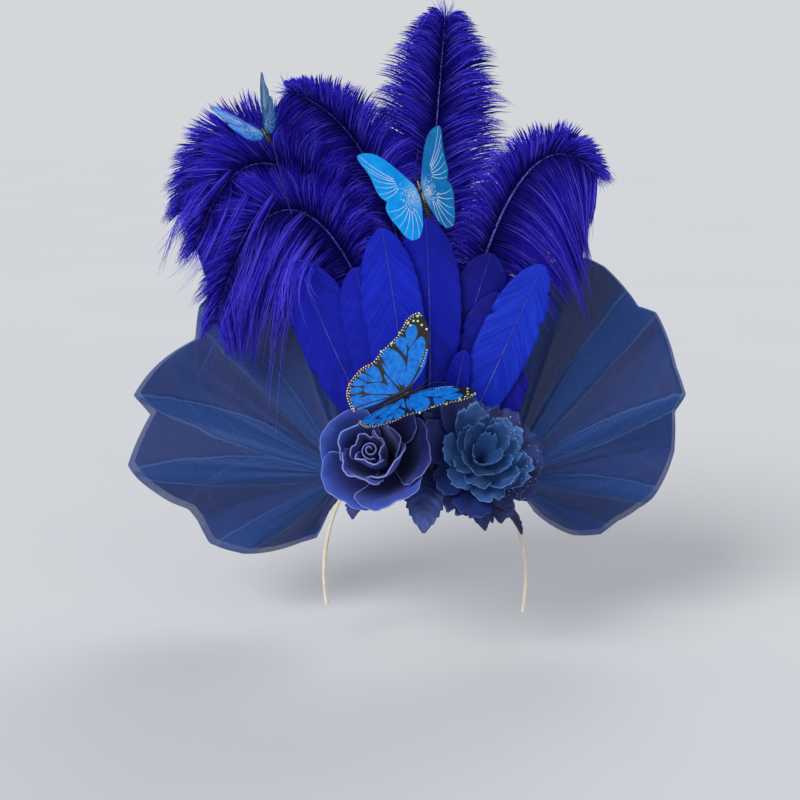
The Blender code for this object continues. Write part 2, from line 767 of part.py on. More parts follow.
def wire(name, points, material):
    """A bent wire through those points."""
    curve = bpy.data.curves.new(name, "CURVE")
    curve.dimensions = "3D"
    curve.bevel_depth = STEM_RADIUS
    curve.bevel_resolution = 1
    curve.use_fill_caps = True
    line = curve.splines.new("POLY")
    line.points.add(len(points) - 1)
    for knot, place in zip(line.points, points):
        knot.co = (*place, 1.0)
    piece = bpy.data.objects.new(name, curve)
    headdress.objects.link(piece)
    curve.materials.append(material)


def quill_front(name, along):
    """The point on the front of a plume, on its quill, at that share of the quill."""
    plume = next(one for one in PLUMES if one.name == name)
    place, _ = bezier(plume_line(plume), along)
    depth = PLUME_FRONT + PLUME_PITCH * plume.layer
    return Vector((place.x, layer_depth(depth, place.y) - PLUME_CORE / 2 - SEAT_GAP, place.y))


def butterflies():
    dark = painted("black_body", (0.01, 0.01, 0.012), 0.35)
    steel = painted("dark_wire", (0.02, 0.02, 0.03), 0.4, 1.0)
    for butterfly in BUTTERFLIES:
        blue = painted(f"{butterfly.name}_print", butterfly.colour, 0.3)
        wing(butterfly, f"{butterfly.name}_wing_left", -1, butterfly.left_raise, blue)
        wing(butterfly, f"{butterfly.name}_wing_right", 1, butterfly.right_raise, blue)
        butterfly_body(butterfly, f"{butterfly.name}_body", dark)
    large, middle, small = (butterfly_frame(one) for one in BUTTERFLIES)
    under = Vector((0, 0, -(BODY_RADIUS + SEAT_GAP)))
    below = Vector((0, 0, -0.008))
    foot = skull_point(-3.0, 18.0, PAD_SEAT + STEM_RADIUS * 0.3)
    rise = Vector((0, -0.002, STEM_HEIGHT))
    wire("butterfly_large_stem", (foot, foot + rise, large @ (under + below), large @ under), steel)
    out = Vector((0, -0.005, 0))
    start = quill_front("plume_upper_left", 0.40)
    wire("butterfly_middle_stem", (start, start + out, middle @ (under + below), middle @ under), steel)
    start = quill_front("plume_left_low", 0.62)
    wire("butterfly_small_stem", (start, start + out, small @ (under + below), small @ under), steel)


hair_band()
felt_pad()
goose_feathers()
ostrich_plumes()
tulle_fans()
foam_rose()
silk_peony()
silk_leaves()
butterflies()
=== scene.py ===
"""The looks of a showgirl headdress of plumes, goose feathers, tulle, two fabric flowers and butterflies.

Metres, +Z up. The crown of the head is the origin and the wearer faces -Y.
"""

import json
import math
import random

import bmesh
import bpy
import numpy as np
from mathutils import Matrix, Vector

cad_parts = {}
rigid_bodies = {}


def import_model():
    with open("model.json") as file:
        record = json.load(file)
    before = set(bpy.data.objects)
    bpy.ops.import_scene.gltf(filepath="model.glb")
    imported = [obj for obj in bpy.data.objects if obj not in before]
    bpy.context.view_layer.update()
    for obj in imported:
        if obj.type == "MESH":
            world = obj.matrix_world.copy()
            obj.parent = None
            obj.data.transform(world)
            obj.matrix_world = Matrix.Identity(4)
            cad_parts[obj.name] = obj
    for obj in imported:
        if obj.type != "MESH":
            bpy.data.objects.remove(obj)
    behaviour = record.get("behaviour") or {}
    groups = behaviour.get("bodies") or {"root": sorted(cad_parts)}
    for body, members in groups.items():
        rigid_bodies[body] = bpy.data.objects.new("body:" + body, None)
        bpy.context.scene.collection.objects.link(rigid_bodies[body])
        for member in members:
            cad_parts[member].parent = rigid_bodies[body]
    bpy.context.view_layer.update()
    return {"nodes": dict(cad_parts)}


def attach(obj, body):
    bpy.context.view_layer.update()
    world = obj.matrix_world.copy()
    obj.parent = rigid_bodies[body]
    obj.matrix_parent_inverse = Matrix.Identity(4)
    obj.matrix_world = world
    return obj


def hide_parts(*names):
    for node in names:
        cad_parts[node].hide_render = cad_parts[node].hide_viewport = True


for old in list(bpy.data.objects):
    bpy.data.objects.remove(old, do_unlink=True)

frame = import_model()


# The studio: a pale floor under the headdress, soft lights, and the camera a little above the brow
# and to the wearer's left, as the photograph was taken.

CAMERA_TURN = math.radians(6.0)
CAMERA_RISE = math.radians(12.0)
CAMERA_DISTANCE = 1.0
CAMERA_LENS = 58.4
FLOOR_HEIGHT = -0.17
FLOOR_COLOUR = (0.58, 0.59, 0.61)
FLOOR_SHADE = (0.565, 0.575, 0.595)
FLOOR_WIDTH = 14.0
ROOM_LIGHT = (0.50, 0.51, 0.54)
BACKDROP_COLOUR = (0.66, 0.675, 0.70)
AIM_RIGHT = -0.019
AIM_UP = 0.032

look = Vector(
    (
        math.sin(CAMERA_TURN) * math.cos(CAMERA_RISE),
        -math.cos(CAMERA_TURN) * math.cos(CAMERA_RISE),
        math.sin(CAMERA_RISE),
    )
)
rightward = Vector((math.cos(CAMERA_TURN), math.sin(CAMERA_TURN), 0.0))
upward = look.cross(rightward)
aim = rightward * AIM_RIGHT + upward * AIM_UP
camera = bpy.data.objects.new("camera", bpy.data.cameras.new("camera"))
camera.data.lens = CAMERA_LENS
camera.data.sensor_width = 36.0
camera.location = aim + look * CAMERA_DISTANCE
camera.rotation_euler = (aim - camera.location).to_track_quat("-Z", "Y").to_euler()
bpy.context.scene.collection.objects.link(camera)
bpy.context.scene.camera = camera
bpy.context.scene.view_settings.view_transform = "Standard"


def soft_light(name, come_from, spread, power):
    """A broad studio light from that direction, as wide as spread, in degrees."""
    lamp = bpy.data.lights.new(name, "SUN")
    lamp.angle = math.radians(spread)
    lamp.energy = power
    holder = bpy.data.objects.new(name, lamp)
    holder.rotation_euler = (-Vector(come_from)).to_track_quat("-Z", "Y").to_euler()
    bpy.context.scene.collection.objects.link(holder)


soft_light("key_light", (-0.8, -1.2, 1.1), 30.0, 2.1)
soft_light("fill_light", (1.3, -1.1, 0.5), 60.0, 0.45)
soft_light("hair_light", (0.5, 1.1, 1.3), 40.0, 0.7)
studio = bpy.data.worlds.new("studio")
studio.use_nodes = True
bpy.context.scene.world = studio


def node(tree, kind, inputs=(), **settings):
    """A shader node with its settings, and for each input a value or the socket that feeds it."""
    made = tree.nodes.new("ShaderNode" + kind)
    for name, value in settings.items():
        setattr(made, name, value)
    for socket, value in dict(inputs).items():
        if isinstance(value, bpy.types.NodeSocket):
            tree.links.new(value, made.inputs[socket])
        else:
            made.inputs[socket].default_value = value
    return made


def reckon(tree, operation, *values):
    """The outcome of a Math node."""
    return node(tree, "Math", dict(enumerate(values)), operation=operation).outputs[0]


def blend(tree, share, first, second):
    """Two colours mixed by a share."""
    mixed = node(tree, "Mix", {0: share}, data_type="RGBA")
    for socket, colour in ((6, first), (7, second)):
        if isinstance(colour, bpy.types.NodeSocket):
            tree.links.new(colour, mixed.inputs[socket])
        else:
            mixed.inputs[socket].default_value = (*colour, 1.0)
    return mixed.outputs[2]


def ease(tree, value, low, high, bottom=0.0, top=1.0):
    """A value eased from bottom to top between two limits."""
    eased = node(
        tree,
        "MapRange",
        {"Value": value, "From Min": low, "From Max": high, "To Min": bottom, "To Max": top},
        interpolation_type="SMOOTHSTEP",
    )
    return eased.outputs["Result"]


def finish_of(name, roughness, **sockets):
    """A new Principled material with its constant settings, and its node tree and shader."""
    material = bpy.data.materials.new(name)
    material.use_nodes = True
    shader = material.node_tree.nodes["Principled BSDF"]
    shader.inputs["Roughness"].default_value = roughness
    for label, value in sockets.items():
        shader.inputs[label.replace("_", " ")].default_value = value
    return material, material.node_tree, shader


def effect_group(name, inputs, outputs):
    """An empty node group with those inputs, and what its inputs and outputs connect to."""
    group = bpy.data.node_groups.new(name, "ShaderNodeTree")
    for label, default in inputs.items():
        kind = "NodeSocketFloat" if isinstance(default, float) else "NodeSocketColor"
        group.interface.new_socket(label, in_out="INPUT", socket_type=kind).default_value = default
    for label, kind in outputs.items():
        group.interface.new_socket(label, in_out="OUTPUT", socket_type=kind)
    return group, group.nodes.new("NodeGroupInput").outputs, group.nodes.new("NodeGroupOutput").inputs


def effect(tree, group, **values):
    """A node group placed in a material."""
    placed = node(tree, "Group", node_tree=group)
    for label, value in values.items():
        socket = placed.inputs[label]
        if isinstance(value, bpy.types.NodeSocket):
            tree.links.new(value, socket)
        else:
            socket.default_value = value
    return placed.outputs


backdrop = studio.node_tree
seen = node(backdrop, "LightPath").outputs["Is Camera Ray"]
sky = blend(backdrop, seen, ROOM_LIGHT, BACKDROP_COLOUR)
backdrop.links.new(sky, backdrop.nodes["Background"].inputs["Color"])


# Dye that has taken unevenly, and a fine tooth: used on ribbon, felt, quills, silk, foam, inks and wire
mottle, given, made = effect_group(
    "dye_mottle",
    {"Colour": (0.5, 0.5, 0.5, 1.0), "Deep": (0.2, 0.2, 0.2, 1.0), "Patch": 60.0, "Tooth": 900.0},
    {"Colour": "NodeSocketColor", "Height": "NodeSocketFloat"},
)
spot = node(mottle, "TexCoord").outputs["Object"]
patches = node(mottle, "TexNoise", {"Vector": spot, "Scale": given["Patch"], "Detail": 3.0})
tooth = node(mottle, "TexNoise", {"Vector": spot, "Scale": given["Tooth"], "Detail": 2.0})
share = ease(mottle, patches.outputs["Fac"], 0.35, 0.68)
mottle.links.new(blend(mottle, share, given["Deep"], given["Colour"]), made["Colour"])
mottle.links.new(tooth.outputs["Fac"], made["Height"])


def mottled(tree, light, dark, patch, tooth):
    """That dye placed in a material, with its two tones and how many patches and teeth there are a metre."""
    return effect(tree, mottle, Colour=(*light, 1.0), Deep=(*dark, 1.0), Patch=patch, Tooth=tooth)


def paint(tree, shader, colour):
    """Sends a colour to a shader."""
    tree.links.new(colour, shader.inputs["Base Color"])


def bump(tree, shader, height, strength, distance):
    """Sends a height to a shader's normal."""
    relief = node(tree, "Bump", {"Height": height, "Strength": strength, "Distance": distance})
    tree.links.new(relief.outputs[0], shader.inputs["Normal"])


def dyed_finish(name, roughness, light, dark, patch, tooth, relief=0.0, depth=0.0, **sockets):
    """A finish that has nothing but that dye, and with some relief its tooth too."""
    material, tree, shader = finish_of(name, roughness, **sockets)
    dye = mottled(tree, light, dark, patch, tooth)
    paint(tree, shader, dye["Colour"])
    if relief:
        bump(tree, shader, dye["Height"], relief, depth)
    return material


def stood(name, mesh):
    """A new object of that mesh."""
    piece = bpy.data.objects.new(name, mesh)
    bpy.context.scene.collection.objects.link(piece)
    return piece


def formed(name, form, *finishes, smooth=False):
    """A new object of a mesh that has been formed, with its finishes."""
    mesh = bpy.data.meshes.new(name)
    form.to_mesh(mesh)
    form.free()
    if smooth:
        mesh.shade_smooth()
    for finish in finishes:
        mesh.materials.append(finish)
    return stood(name, mesh)


plane = bmesh.new()
level = Matrix.Translation((0, 0, FLOOR_HEIGHT))
bmesh.ops.create_grid(plane, x_segments=2, y_segments=2, size=FLOOR_WIDTH, matrix=level)
formed("floor", plane, dyed_finish("pale_floor", 0.9, FLOOR_COLOUR, FLOOR_SHADE, 1.5, 300.0))


# The hair band: a plastic arch from behind one temple over the crown to the other, wound edge over edge
# with narrow cream satin ribbon that is glued down at both ends.

HEAD_WIDTH = 0.156
HEAD_DEPTH = 0.190
CROWN_HEIGHT = 0.110
BAND_WIDTH = 0.008
BAND_THICKNESS = 0.003
BAND_WRAP = 103.0
RIBBON_TURNS = 62
RIBBON_STEP = 0.00022
RIBBON_INSET = 0.0002


def sheet_mesh(name, columns, rows, surface, finish, loop=False, capped=False):
    """A smooth piece whose points are surface(across, along), both from 0 to 1, and its UV map keeps them."""
    form = bmesh.new()
    form.loops.layers.uv.new("UVMap")
    bmesh.ops.create_grid(form, x_segments=columns, y_segments=rows, size=0.5, calc_uvs=True)
    for point in form.verts:
        point.co = surface(point.co.x + 0.5, point.co.y + 0.5)
    if loop:
        bmesh.ops.remove_doubles(form, verts=form.verts, dist=0.000002)
    if capped:
        bmesh.ops.holes_fill(form, edges=form.edges, sides=0)
        bmesh.ops.recalc_face_normals(form, faces=form.faces)
    return formed(name, form, finish, smooth=True)


def wall(piece, thickness):
    """Gives a sheet its thickness, half on each side."""
    layer = piece.modifiers.new("wall", "SOLIDIFY")
    layer.thickness = thickness
    layer.offset = 0.0


def fitted(piece, slot, *nodes):
    """Puts a finished piece on the headdress, in place of those CAD nodes."""
    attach(piece, "root")
    if nodes:
        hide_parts(*nodes)
    return piece


def power_curve(value, power):
    """A value's power with its sign kept, which squares a round section."""
    return math.copysign(abs(value) ** power, value)


def ribbon_surface(around, along):
    """The rounded section of the band, each turn of ribbon lying on the one before."""
    turn = 2 * math.pi * around
    angle = math.radians(BAND_WRAP) * (2 * along - 1)
    wound = (along * RIBBON_TURNS + 0.5 * math.cos(turn)) % 1.0
    proud = RIBBON_STEP * (1.0 - wound) * min(1.0, wound * 9)
    away = BAND_THICKNESS / 2
    away += (BAND_THICKNESS / 2 - RIBBON_INSET + proud) * power_curve(math.sin(turn), 0.5)
    side = (BAND_WIDTH / 2 - RIBBON_INSET + proud) * power_curve(math.cos(turn), 0.45)
    outward = Vector((math.sin(angle) / HEAD_WIDTH * 2, 0.0, math.cos(angle) / CROWN_HEIGHT)).normalized()
    place = Vector((HEAD_WIDTH / 2 * math.sin(angle), side, CROWN_HEIGHT * (math.cos(angle) - 1)))
    return place + outward * away


def flat_share(tree):
    """A sheet's own UV map as shares across and along."""
    return node(tree, "SeparateXYZ", {0: node(tree, "UVMap").outputs[0]}).outputs


# Threads that cross in a sheet's own UV map: used on the ribbon, the silk petals and the leaves
weave, given, made = effect_group(
    "thread_weave", {"Across": 100.0, "Along": 100.0}, {"Height": "NodeSocketFloat"}
)
threads = [
    reckon(weave, "SINE", reckon(weave, "MULTIPLY", share, given[label]))
    for share, label in zip(flat_share(weave), ("Across", "Along"))
]
weave.links.new(reckon(weave, "MULTIPLY", *threads), made["Height"])

satin, tree, shader = finish_of("cream_satin", 0.34, Sheen_Weight=0.25, Specular_IOR_Level=0.6)
cream = mottled(tree, (0.80, 0.735, 0.60), (0.70, 0.62, 0.47), 140.0, 2500.0)
paint(tree, shader, cream["Colour"])
ribbed = effect(tree, weave, Across=260.0, Along=9000.0)
bump(tree, shader, ribbed["Height"], 0.25, 0.0001)
band = sheet_mesh("ribbon_band", 20, 620, ribbon_surface, satin, loop=True, capped=True)
fitted(band, "cream_ribbon", "hair_band")


# The felt pad: a saddle of stiffened navy felt glued over the top of the band, to which every stem,
# quill and gathered edge is glued.

PAD_ACROSS = 54.0
PAD_FRONT = 33.0
PAD_BACK = 15.0
PAD_THICKNESS = 0.0025
PAD_NAP = 0.0002
SEAT_GAP = 0.0003
FACET_SAG = 0.0006
PAD_INSIDE = BAND_THICKNESS + SEAT_GAP + FACET_SAG
PAD_OUTSIDE = PAD_INSIDE + PAD_THICKNESS
PAD_SEAT = PAD_OUTSIDE + SEAT_GAP


def skull_point(across, forward, lift):
    """A point that far above the head, at angles in degrees from the crown to the ear and to the front."""
    across, forward = math.radians(across), math.radians(forward)
    return Vector(
        (
            (HEAD_WIDTH / 2 + lift) * math.sin(across),
            -(HEAD_DEPTH / 2 + lift) * math.cos(across) * math.sin(forward),
            (CROWN_HEIGHT + lift) * math.cos(across) * math.cos(forward) - CROWN_HEIGHT,
        )
    )


def pad_surface(across, along):
    """An oval laid over the head, with the nap of felt."""
    side, ahead = 2 * across - 1, 2 * along - 1
    oval_side = side * math.sqrt(1 - ahead**2 / 2)
    oval_ahead = ahead * math.sqrt(1 - side**2 / 2)
    middle, reach = (PAD_FRONT - PAD_BACK) / 2, (PAD_FRONT + PAD_BACK) / 2
    nap = 0.00012 * math.sin(across * 211.0 + 3 * along) * math.sin(along * 173.0 + 5 * across)
    lift = (PAD_INSIDE + PAD_OUTSIDE) / 2 + nap
    return skull_point(PAD_ACROSS * oval_side, middle + reach * oval_ahead, lift)


felt = dyed_finish(
    "navy_felt", 0.95, (0.020, 0.028, 0.110), (0.010, 0.014, 0.060), 220.0, 2600.0, 0.8, 0.0006,
    Sheen_Weight=0.5, Sheen_Roughness=0.6,
)
pad = sheet_mesh("felt_saddle", 60, 34, pad_surface, felt)
wall(pad, PAD_THICKNESS - PAD_NAP)
fitted(pad, "navy_felt", "felt_pad")
wide = 2 * math.radians(PAD_ACROSS) * HEAD_WIDTH / 2


# The tulle fans: at each side two rounds of stiff navy net, folded double, gathered on a thread and
# stitched to the pad's side, so that they stand out in sharp pleats.

TULLE_REACH = 0.175
TULLE_PLEAT = 0.009
TULLE_GATHER = 0.003
TULLE_BACK = 0.037
TULLE_SEAT = (46.0, -0.5)
TULLE_LAYER = 0.0026
TULLE_OPENING = 0.010
TULLE_PLEATS = 4.5
NET_THICKNESS = 0.0003
NET_WANDER = 0.016
NET_RIPPLE = 0.0011
NET_CRUMPLE = 0.0005
OUTLINE_STEPS = 40

# Each outline is a table of angles up from the level, in degrees, and shares of the reach
LEFT_OUTLINE = (
    (-65, 0.41), (-39, 0.69), (-31, 0.80), (-18, 0.84), (-14, 0.91), (-2, 1.07), (11, 0.98), (15, 1.07),
    (37, 0.92), (44, 1.02), (65, 1.07), (80, 0.95), (93, 0.70),
)
RIGHT_OUTLINE = (
    (-59, 0.26), (-35, 0.54), (-16, 0.62), (6, 0.77), (20, 0.81), (24, 0.88), (32, 0.89), (47, 0.95),
    (52, 0.92), (65, 1.00), (70, 1.01), (82, 0.92), (94, 0.68),
)


def read_outline(outline, share):
    """The angle and the reach of an outline, at that share of its angles."""
    angle = outline[0][0] + (outline[-1][0] - outline[0][0]) * share
    for (first, near), (last, far) in zip(outline, outline[1:]):
        if angle <= last:
            return angle, near + (far - near) * (angle - first) / (last - first)
    return angle, outline[-1][1]


def fold(turns):
    """A pleat's cross section: straight flanks between sharp folds, from -1 to 1."""
    return 0.8 * (4 * abs((turns / (2 * math.pi) + 0.75) % 1.0 - 0.5) - 1) + 0.2 * math.sin(turns)


def net_surface(hand, outline, layer, phase, reach_share, seed):
    """One round of the net: sharp pleats out to the rim, smaller ones near the gather."""
    centre = skull_point(TULLE_SEAT[0] * hand, TULLE_SEAT[1], PAD_SEAT + TULLE_GATHER * 0.35)
    chance = random.Random(seed)
    ripples = [(chance.uniform(11, 17), chance.uniform(0, 6.3), chance.uniform(0.5, 1.0)) for _ in range(2)]
    fine = [(chance.uniform(20, 28), chance.uniform(0, 6.3)) for _ in range(2)]

    def surface(across, along):
        angle, share = read_outline(outline, across)
        share *= 1 + NET_WANDER * math.sin(15 * across - 1.5 * phase) * (1 - (2 * across - 1) ** 4)
        reach = TULLE_GATHER + (TULLE_REACH * share * reach_share - TULLE_GATHER) * along
        out = math.radians(angle)
        pleat = fold(2 * math.pi * TULLE_PLEATS * across + phase) * TULLE_PLEAT * along
        for turns, start, size in ripples:
            ripple = fold(2 * math.pi * turns * across + start) * math.sin(math.pi * along**0.8)
            pleat += NET_RIPPLE * size * ripple
        for turns, start in fine:
            crumple = math.sin(2 * math.pi * turns * across + start) * along * (1 - along) ** 2 * 4
            pleat += NET_CRUMPLE * crumple
        lean = TULLE_BACK * (1 + 0.5 * max(0.0, math.sin(out)))
        depth = centre.y + lean * math.sin(math.pi / 2 * along)
        depth += layer * (TULLE_LAYER + TULLE_OPENING * along) + pleat
        return Vector((centre.x + hand * reach * math.cos(out), depth, centre.z + reach * math.sin(out)))

    return surface


# How near a sheet's point is to its free rim, in its own UV map: used on net, foam, silk and leaves
rim, given, made = effect_group("free_rim", {"Width": 0.04, "Sides": 1.0}, {"Mask": "NodeSocketFloat"})
flat_place = flat_share(rim)
from_side = reckon(
    rim, "SUBTRACT", 0.5, reckon(rim, "ABSOLUTE", reckon(rim, "SUBTRACT", flat_place[0], 0.5))
)
from_side = reckon(rim, "DIVIDE", from_side, reckon(rim, "MAXIMUM", given["Sides"], 0.001))
nearest = reckon(rim, "MINIMUM", from_side, reckon(rim, "SUBTRACT", 1.0, flat_place[1]))
mask = ease(rim, reckon(rim, "DIVIDE", nearest, given["Width"]), 0.35, 1.0, 1.0, 0.0)
rim.links.new(mask, made["Mask"])

MESHES_A_METRE = 700.0
NET_SINGLE = (0.004, 0.026, 0.160)
NET_DOUBLE = (0.016, 0.058, 0.230)
# The crease colour is a painted highlight where the folds catch the light.
NET_CREASE_HIGHLIGHT = (0.055, 0.125, 0.340)
NET_COVER = 0.52
NET_MOST_COVER = 0.90

# Strips that lie double, as shares across the fan: the lower edge at its foot and at the rim, the upper edge
# likewise, and how strongly each shows
LEFT_FOLDS = (
    (0.43, 0.495, 0.62, 0.505, 1.0), (0.27, 0.380, 0.47, 0.392, 0.8), (0.05, 0.150, 0.225, 0.205, 0.7),
    (0.64, 0.665, 0.76, 0.700, 0.8), (0.82, 0.840, 0.95, 0.890, 0.5),
    (0.50, 0.300, 0.56, 0.255, 0.30), (0.30, 0.600, 0.36, 0.645, 0.28), (0.88, 0.700, 0.94, 0.760, 0.30),
)
RIGHT_FOLDS = (
    (0.24, 0.300, 0.40, 0.345, 0.8), (0.46, 0.520, 0.60, 0.545, 1.0), (0.06, 0.120, 0.19, 0.180, 0.6),
    (0.66, 0.690, 0.80, 0.760, 0.9), (0.84, 0.850, 0.93, 0.910, 0.5),
    (0.55, 0.380, 0.62, 0.330, 0.30), (0.30, 0.620, 0.36, 0.680, 0.28), (0.20, 0.420, 0.26, 0.470, 0.25),
)

# One such strip and its creases, in a sheet's own UV map: used on both fans
folded, given, made = effect_group(
    "folded_strip",
    {"Low Foot": 0.4, "Low Rim": 0.5, "High Foot": 0.6, "High Rim": 0.6},
    {"Mask": "NodeSocketFloat", "Crease": "NodeSocketFloat"},
)
flat_place = flat_share(folded)
waver = node(folded, "TexNoise", {"Vector": node(folded, "UVMap").outputs[0], "Scale": 7.0})
waver = reckon(folded, "MULTIPLY", reckon(folded, "SUBTRACT", waver.outputs["Fac"], 0.5), 0.014)
across = reckon(folded, "ADD", flat_place[0], waver)
inside, creases = [], []
for label, way in (("Low", 1.0), ("High", -1.0)):
    edge = node(folded, "Mix", {0: flat_place[1], 2: given[label + " Foot"], 3: given[label + " Rim"]})
    past = reckon(folded, "MULTIPLY", reckon(folded, "SUBTRACT", across, edge.outputs[0]), way)
    inside.append(ease(folded, past, 0.0, 0.007))
    creases.append(ease(folded, reckon(folded, "ABSOLUTE", past), 0.0, 0.0045, 1.0, 0.0))
folded.links.new(reckon(folded, "MULTIPLY", *inside), made["Mask"])
folded.links.new(reckon(folded, "MAXIMUM", *creases), made["Crease"])


def net_finish(name, strips, streaks, seed):
    """Navy net: see-through between its threads, denser where it lies double, pale along its creases and rim
    as a painted highlight.
    """
    material, tree, shader = finish_of(name, 0.6, Specular_IOR_Level=0.2, Sheen_Weight=0.3,
                                       Sheen_Roughness=0.4, Sheen_Tint=(0.25, 0.45, 0.95, 1.0))
    place = node(tree, "UVMap").outputs[0]
    shift, stretch = (seed, 0.0, 0.0), (streaks, 0.7, 1.0)
    rays = node(tree, "Mapping", {"Vector": place, "Location": shift, "Scale": stretch}).outputs[0]
    pulls = node(tree, "TexNoise", {"Vector": rays, "Scale": 1.0, "Detail": 3.0, "Roughness": 0.6})
    double = reckon(tree, "MULTIPLY", ease(tree, pulls.outputs["Fac"], 0.46, 0.66), 0.45)
    # pale: a painted highlight along the free rim and sides, and below along each strip's creases.
    pale = effect(tree, rim, Width=0.010, Sides=1.0)["Mask"]
    for low_foot, low_rim, high_foot, high_rim, strength in strips:
        strip = effect(tree, folded, **{
            "Low Foot": low_foot, "Low Rim": low_rim, "High Foot": high_foot, "High Rim": high_rim,
        })
        double = reckon(tree, "MAXIMUM", double, reckon(tree, "MULTIPLY", strip["Mask"], strength))
        pale = reckon(tree, "MAXIMUM", pale, reckon(tree, "MULTIPLY", strip["Crease"], 0.8 * strength))
    spot = node(tree, "TexCoord").outputs["Object"]
    cells = node(tree, "TexVoronoi", {"Vector": spot, "Scale": MESHES_A_METRE}, feature="DISTANCE_TO_EDGE")
    thread = ease(tree, cells.outputs["Distance"], 0.05, 0.25, 1.0, 0.0)
    tone = blend(tree, double, NET_SINGLE, NET_DOUBLE)
    paint(tree, shader, blend(tree, pale, tone, NET_CREASE_HIGHLIGHT))
    cover = NET_COVER
    for share, more in ((double, 0.20), (thread, 0.10), (pale, 0.15)):
        cover = reckon(tree, "ADD", cover, reckon(tree, "MULTIPLY", share, more))
    cover = node(tree, "Clamp", {"Value": cover, "Max": NET_MOST_COVER}).outputs[0]
    tree.links.new(cover, shader.inputs["Alpha"])
    bump(tree, shader, reckon(tree, "ADD", double, reckon(tree, "MULTIPLY", thread, 0.05)), 0.5, 0.0006)
    return material


for side_name, hand, outline, strips, phase, seed in (
    ("left", -1, LEFT_OUTLINE, LEFT_FOLDS, 0.3, 5),
    ("right", 1, RIGHT_OUTLINE, RIGHT_FOLDS, 1.9, 8),
):
    net = net_finish(f"navy_net_{side_name}", strips, 9.0, float(seed))
    for layer_name, layer, reach_share in (("front", 0, 1.0), ("back", 1, 0.990)):
        surface = net_surface(hand, outline, layer, phase, reach_share, seed + layer)
        fan = sheet_mesh(f"net_{side_name}_{layer_name}", 160, 24, surface, net)
        wall(fan, NET_THICKNESS)
        fitted(fan, "navy_tulle", f"tulle_{side_name}_{layer_name}")
        reaches = [read_outline(outline, step / OUTLINE_STEPS)[1] for step in range(OUTLINE_STEPS + 1)]


# The ostrich plumes: six dyed plumes, each a tapering quill with hundreds of soft barbs that part into
# locks and droop at their ends. They are glued to the pad one behind another.

PLUME_HEIGHT = 0.345
BARB_LENGTH = 0.075
PLUME_PITCH = 0.009
PLUME_FRONT = 0.004
FORWARD_CURL = 0.060
ROOT_SPREAD = 0.35
VANE_START = 0.24
BARBS_A_SIDE = 150
BARBULES = 10
DOWN_A_SIDE = 190
TIP_BARBS = 110
RINGS = 6
STEPS = np.linspace(0.0, 1.0, RINGS)
BARB_RADIUS = 0.00042
BARBULE_RADIUS = 0.00027
DOWN_RADIUS = 0.00115
TIP_RADIUS = 0.00030
WISP_RADIUS = 0.00034
VANE_DEPTH = 0.0035
QUILL_RADIUS = 0.0014
QUILL_PROUD = 0.0012
QUILL_SUNK = 0.0005
BARB_ANGLES = (76, 43)
CLUMPING = 0.55

# name, layer, root, the quill's curve, barb lengths left and right, droops left and right, locks
PLUMES = (
    ("right", 0, 0.050, ((0.083, 0.35), (0.205, 0.77), (0.36, 0.59)), (0.57, 1.05), (0.10, 0.40), 12),
    ("left_low", 1, -0.065, ((-0.12, 0.46), (-0.33, 0.74), (-0.475, 0.26)), (0.86, 0.75), (0.78, 0.15), 12),
    ("left_middle", 2, -0.040, ((-0.10, 0.50), (-0.38, 0.84), (-0.52, 0.42)), (1.05, 0.75), (0.60, 0.20), 12),
    ("upper_left", 3, -0.020, ((-0.03, 0.40), (-0.10, 0.70), (-0.29, 0.76)), (0.85, 0.75), (0.35, 0.10), 12),
    ("centre", 4, 0.005, ((-0.02, 0.35), (0.015, 0.67), (0.040, 0.905)), (1.02, 0.98), (0.12, 0.15), 13),
    ("left_high", 5, -0.050, ((-0.12, 0.50), (-0.40, 0.90), (-0.57, 0.50)), (0.82, 0.70), (0.35, 0.10), 12),
)


def dome_height(x, y, lift):
    """The height of the head's dome, raised by lift, over a point of the plan."""
    wide, deep = HEAD_WIDTH / 2 + lift, HEAD_DEPTH / 2 + lift
    return (CROWN_HEIGHT + lift) * math.sqrt(1 - (x / wide) ** 2 - (y / deep) ** 2) - CROWN_HEIGHT


def layer_depth(depth, height):
    """How far back a layer is at each height: all layers curl forward alike."""
    rise = np.clip(height / (PLUME_HEIGHT * 0.3), 0.0, 1.0)
    spread = ROOT_SPREAD + (1 - ROOT_SPREAD) * rise if depth > 0 else 1.0
    return depth * spread - FORWARD_CURL * (height / PLUME_HEIGHT) ** 3


def quill_curve(line, along):
    """Places on a cubic curve and its headings there, for an array of shares."""
    first, second, third, last = (np.array(point, float) for point in line)
    t = np.asarray(along, float)[..., None]
    left = 1 - t
    place = first * left**3 + second * (3 * left**2 * t) + third * (3 * left * t**2) + last * t**3
    heading = (second - first) * (3 * left**2) + (third - second) * (6 * left * t)
    heading += (last - third) * (3 * t**2)
    return place, heading / np.linalg.norm(heading, axis=-1, keepdims=True)


def plume_line(layer, root_x, curve):
    """The four points of a quill's curve, from the pad up, and how far back it stands."""
    depth = PLUME_FRONT + PLUME_PITCH * layer
    x = root_x * PLUME_HEIGHT
    foot = dome_height(x, float(layer_depth(depth, 0.0)), PAD_OUTSIDE) - QUILL_SUNK
    return ((x, foot), *((px * PLUME_HEIGHT, pz * PLUME_HEIGHT) for px, pz in curve)), depth


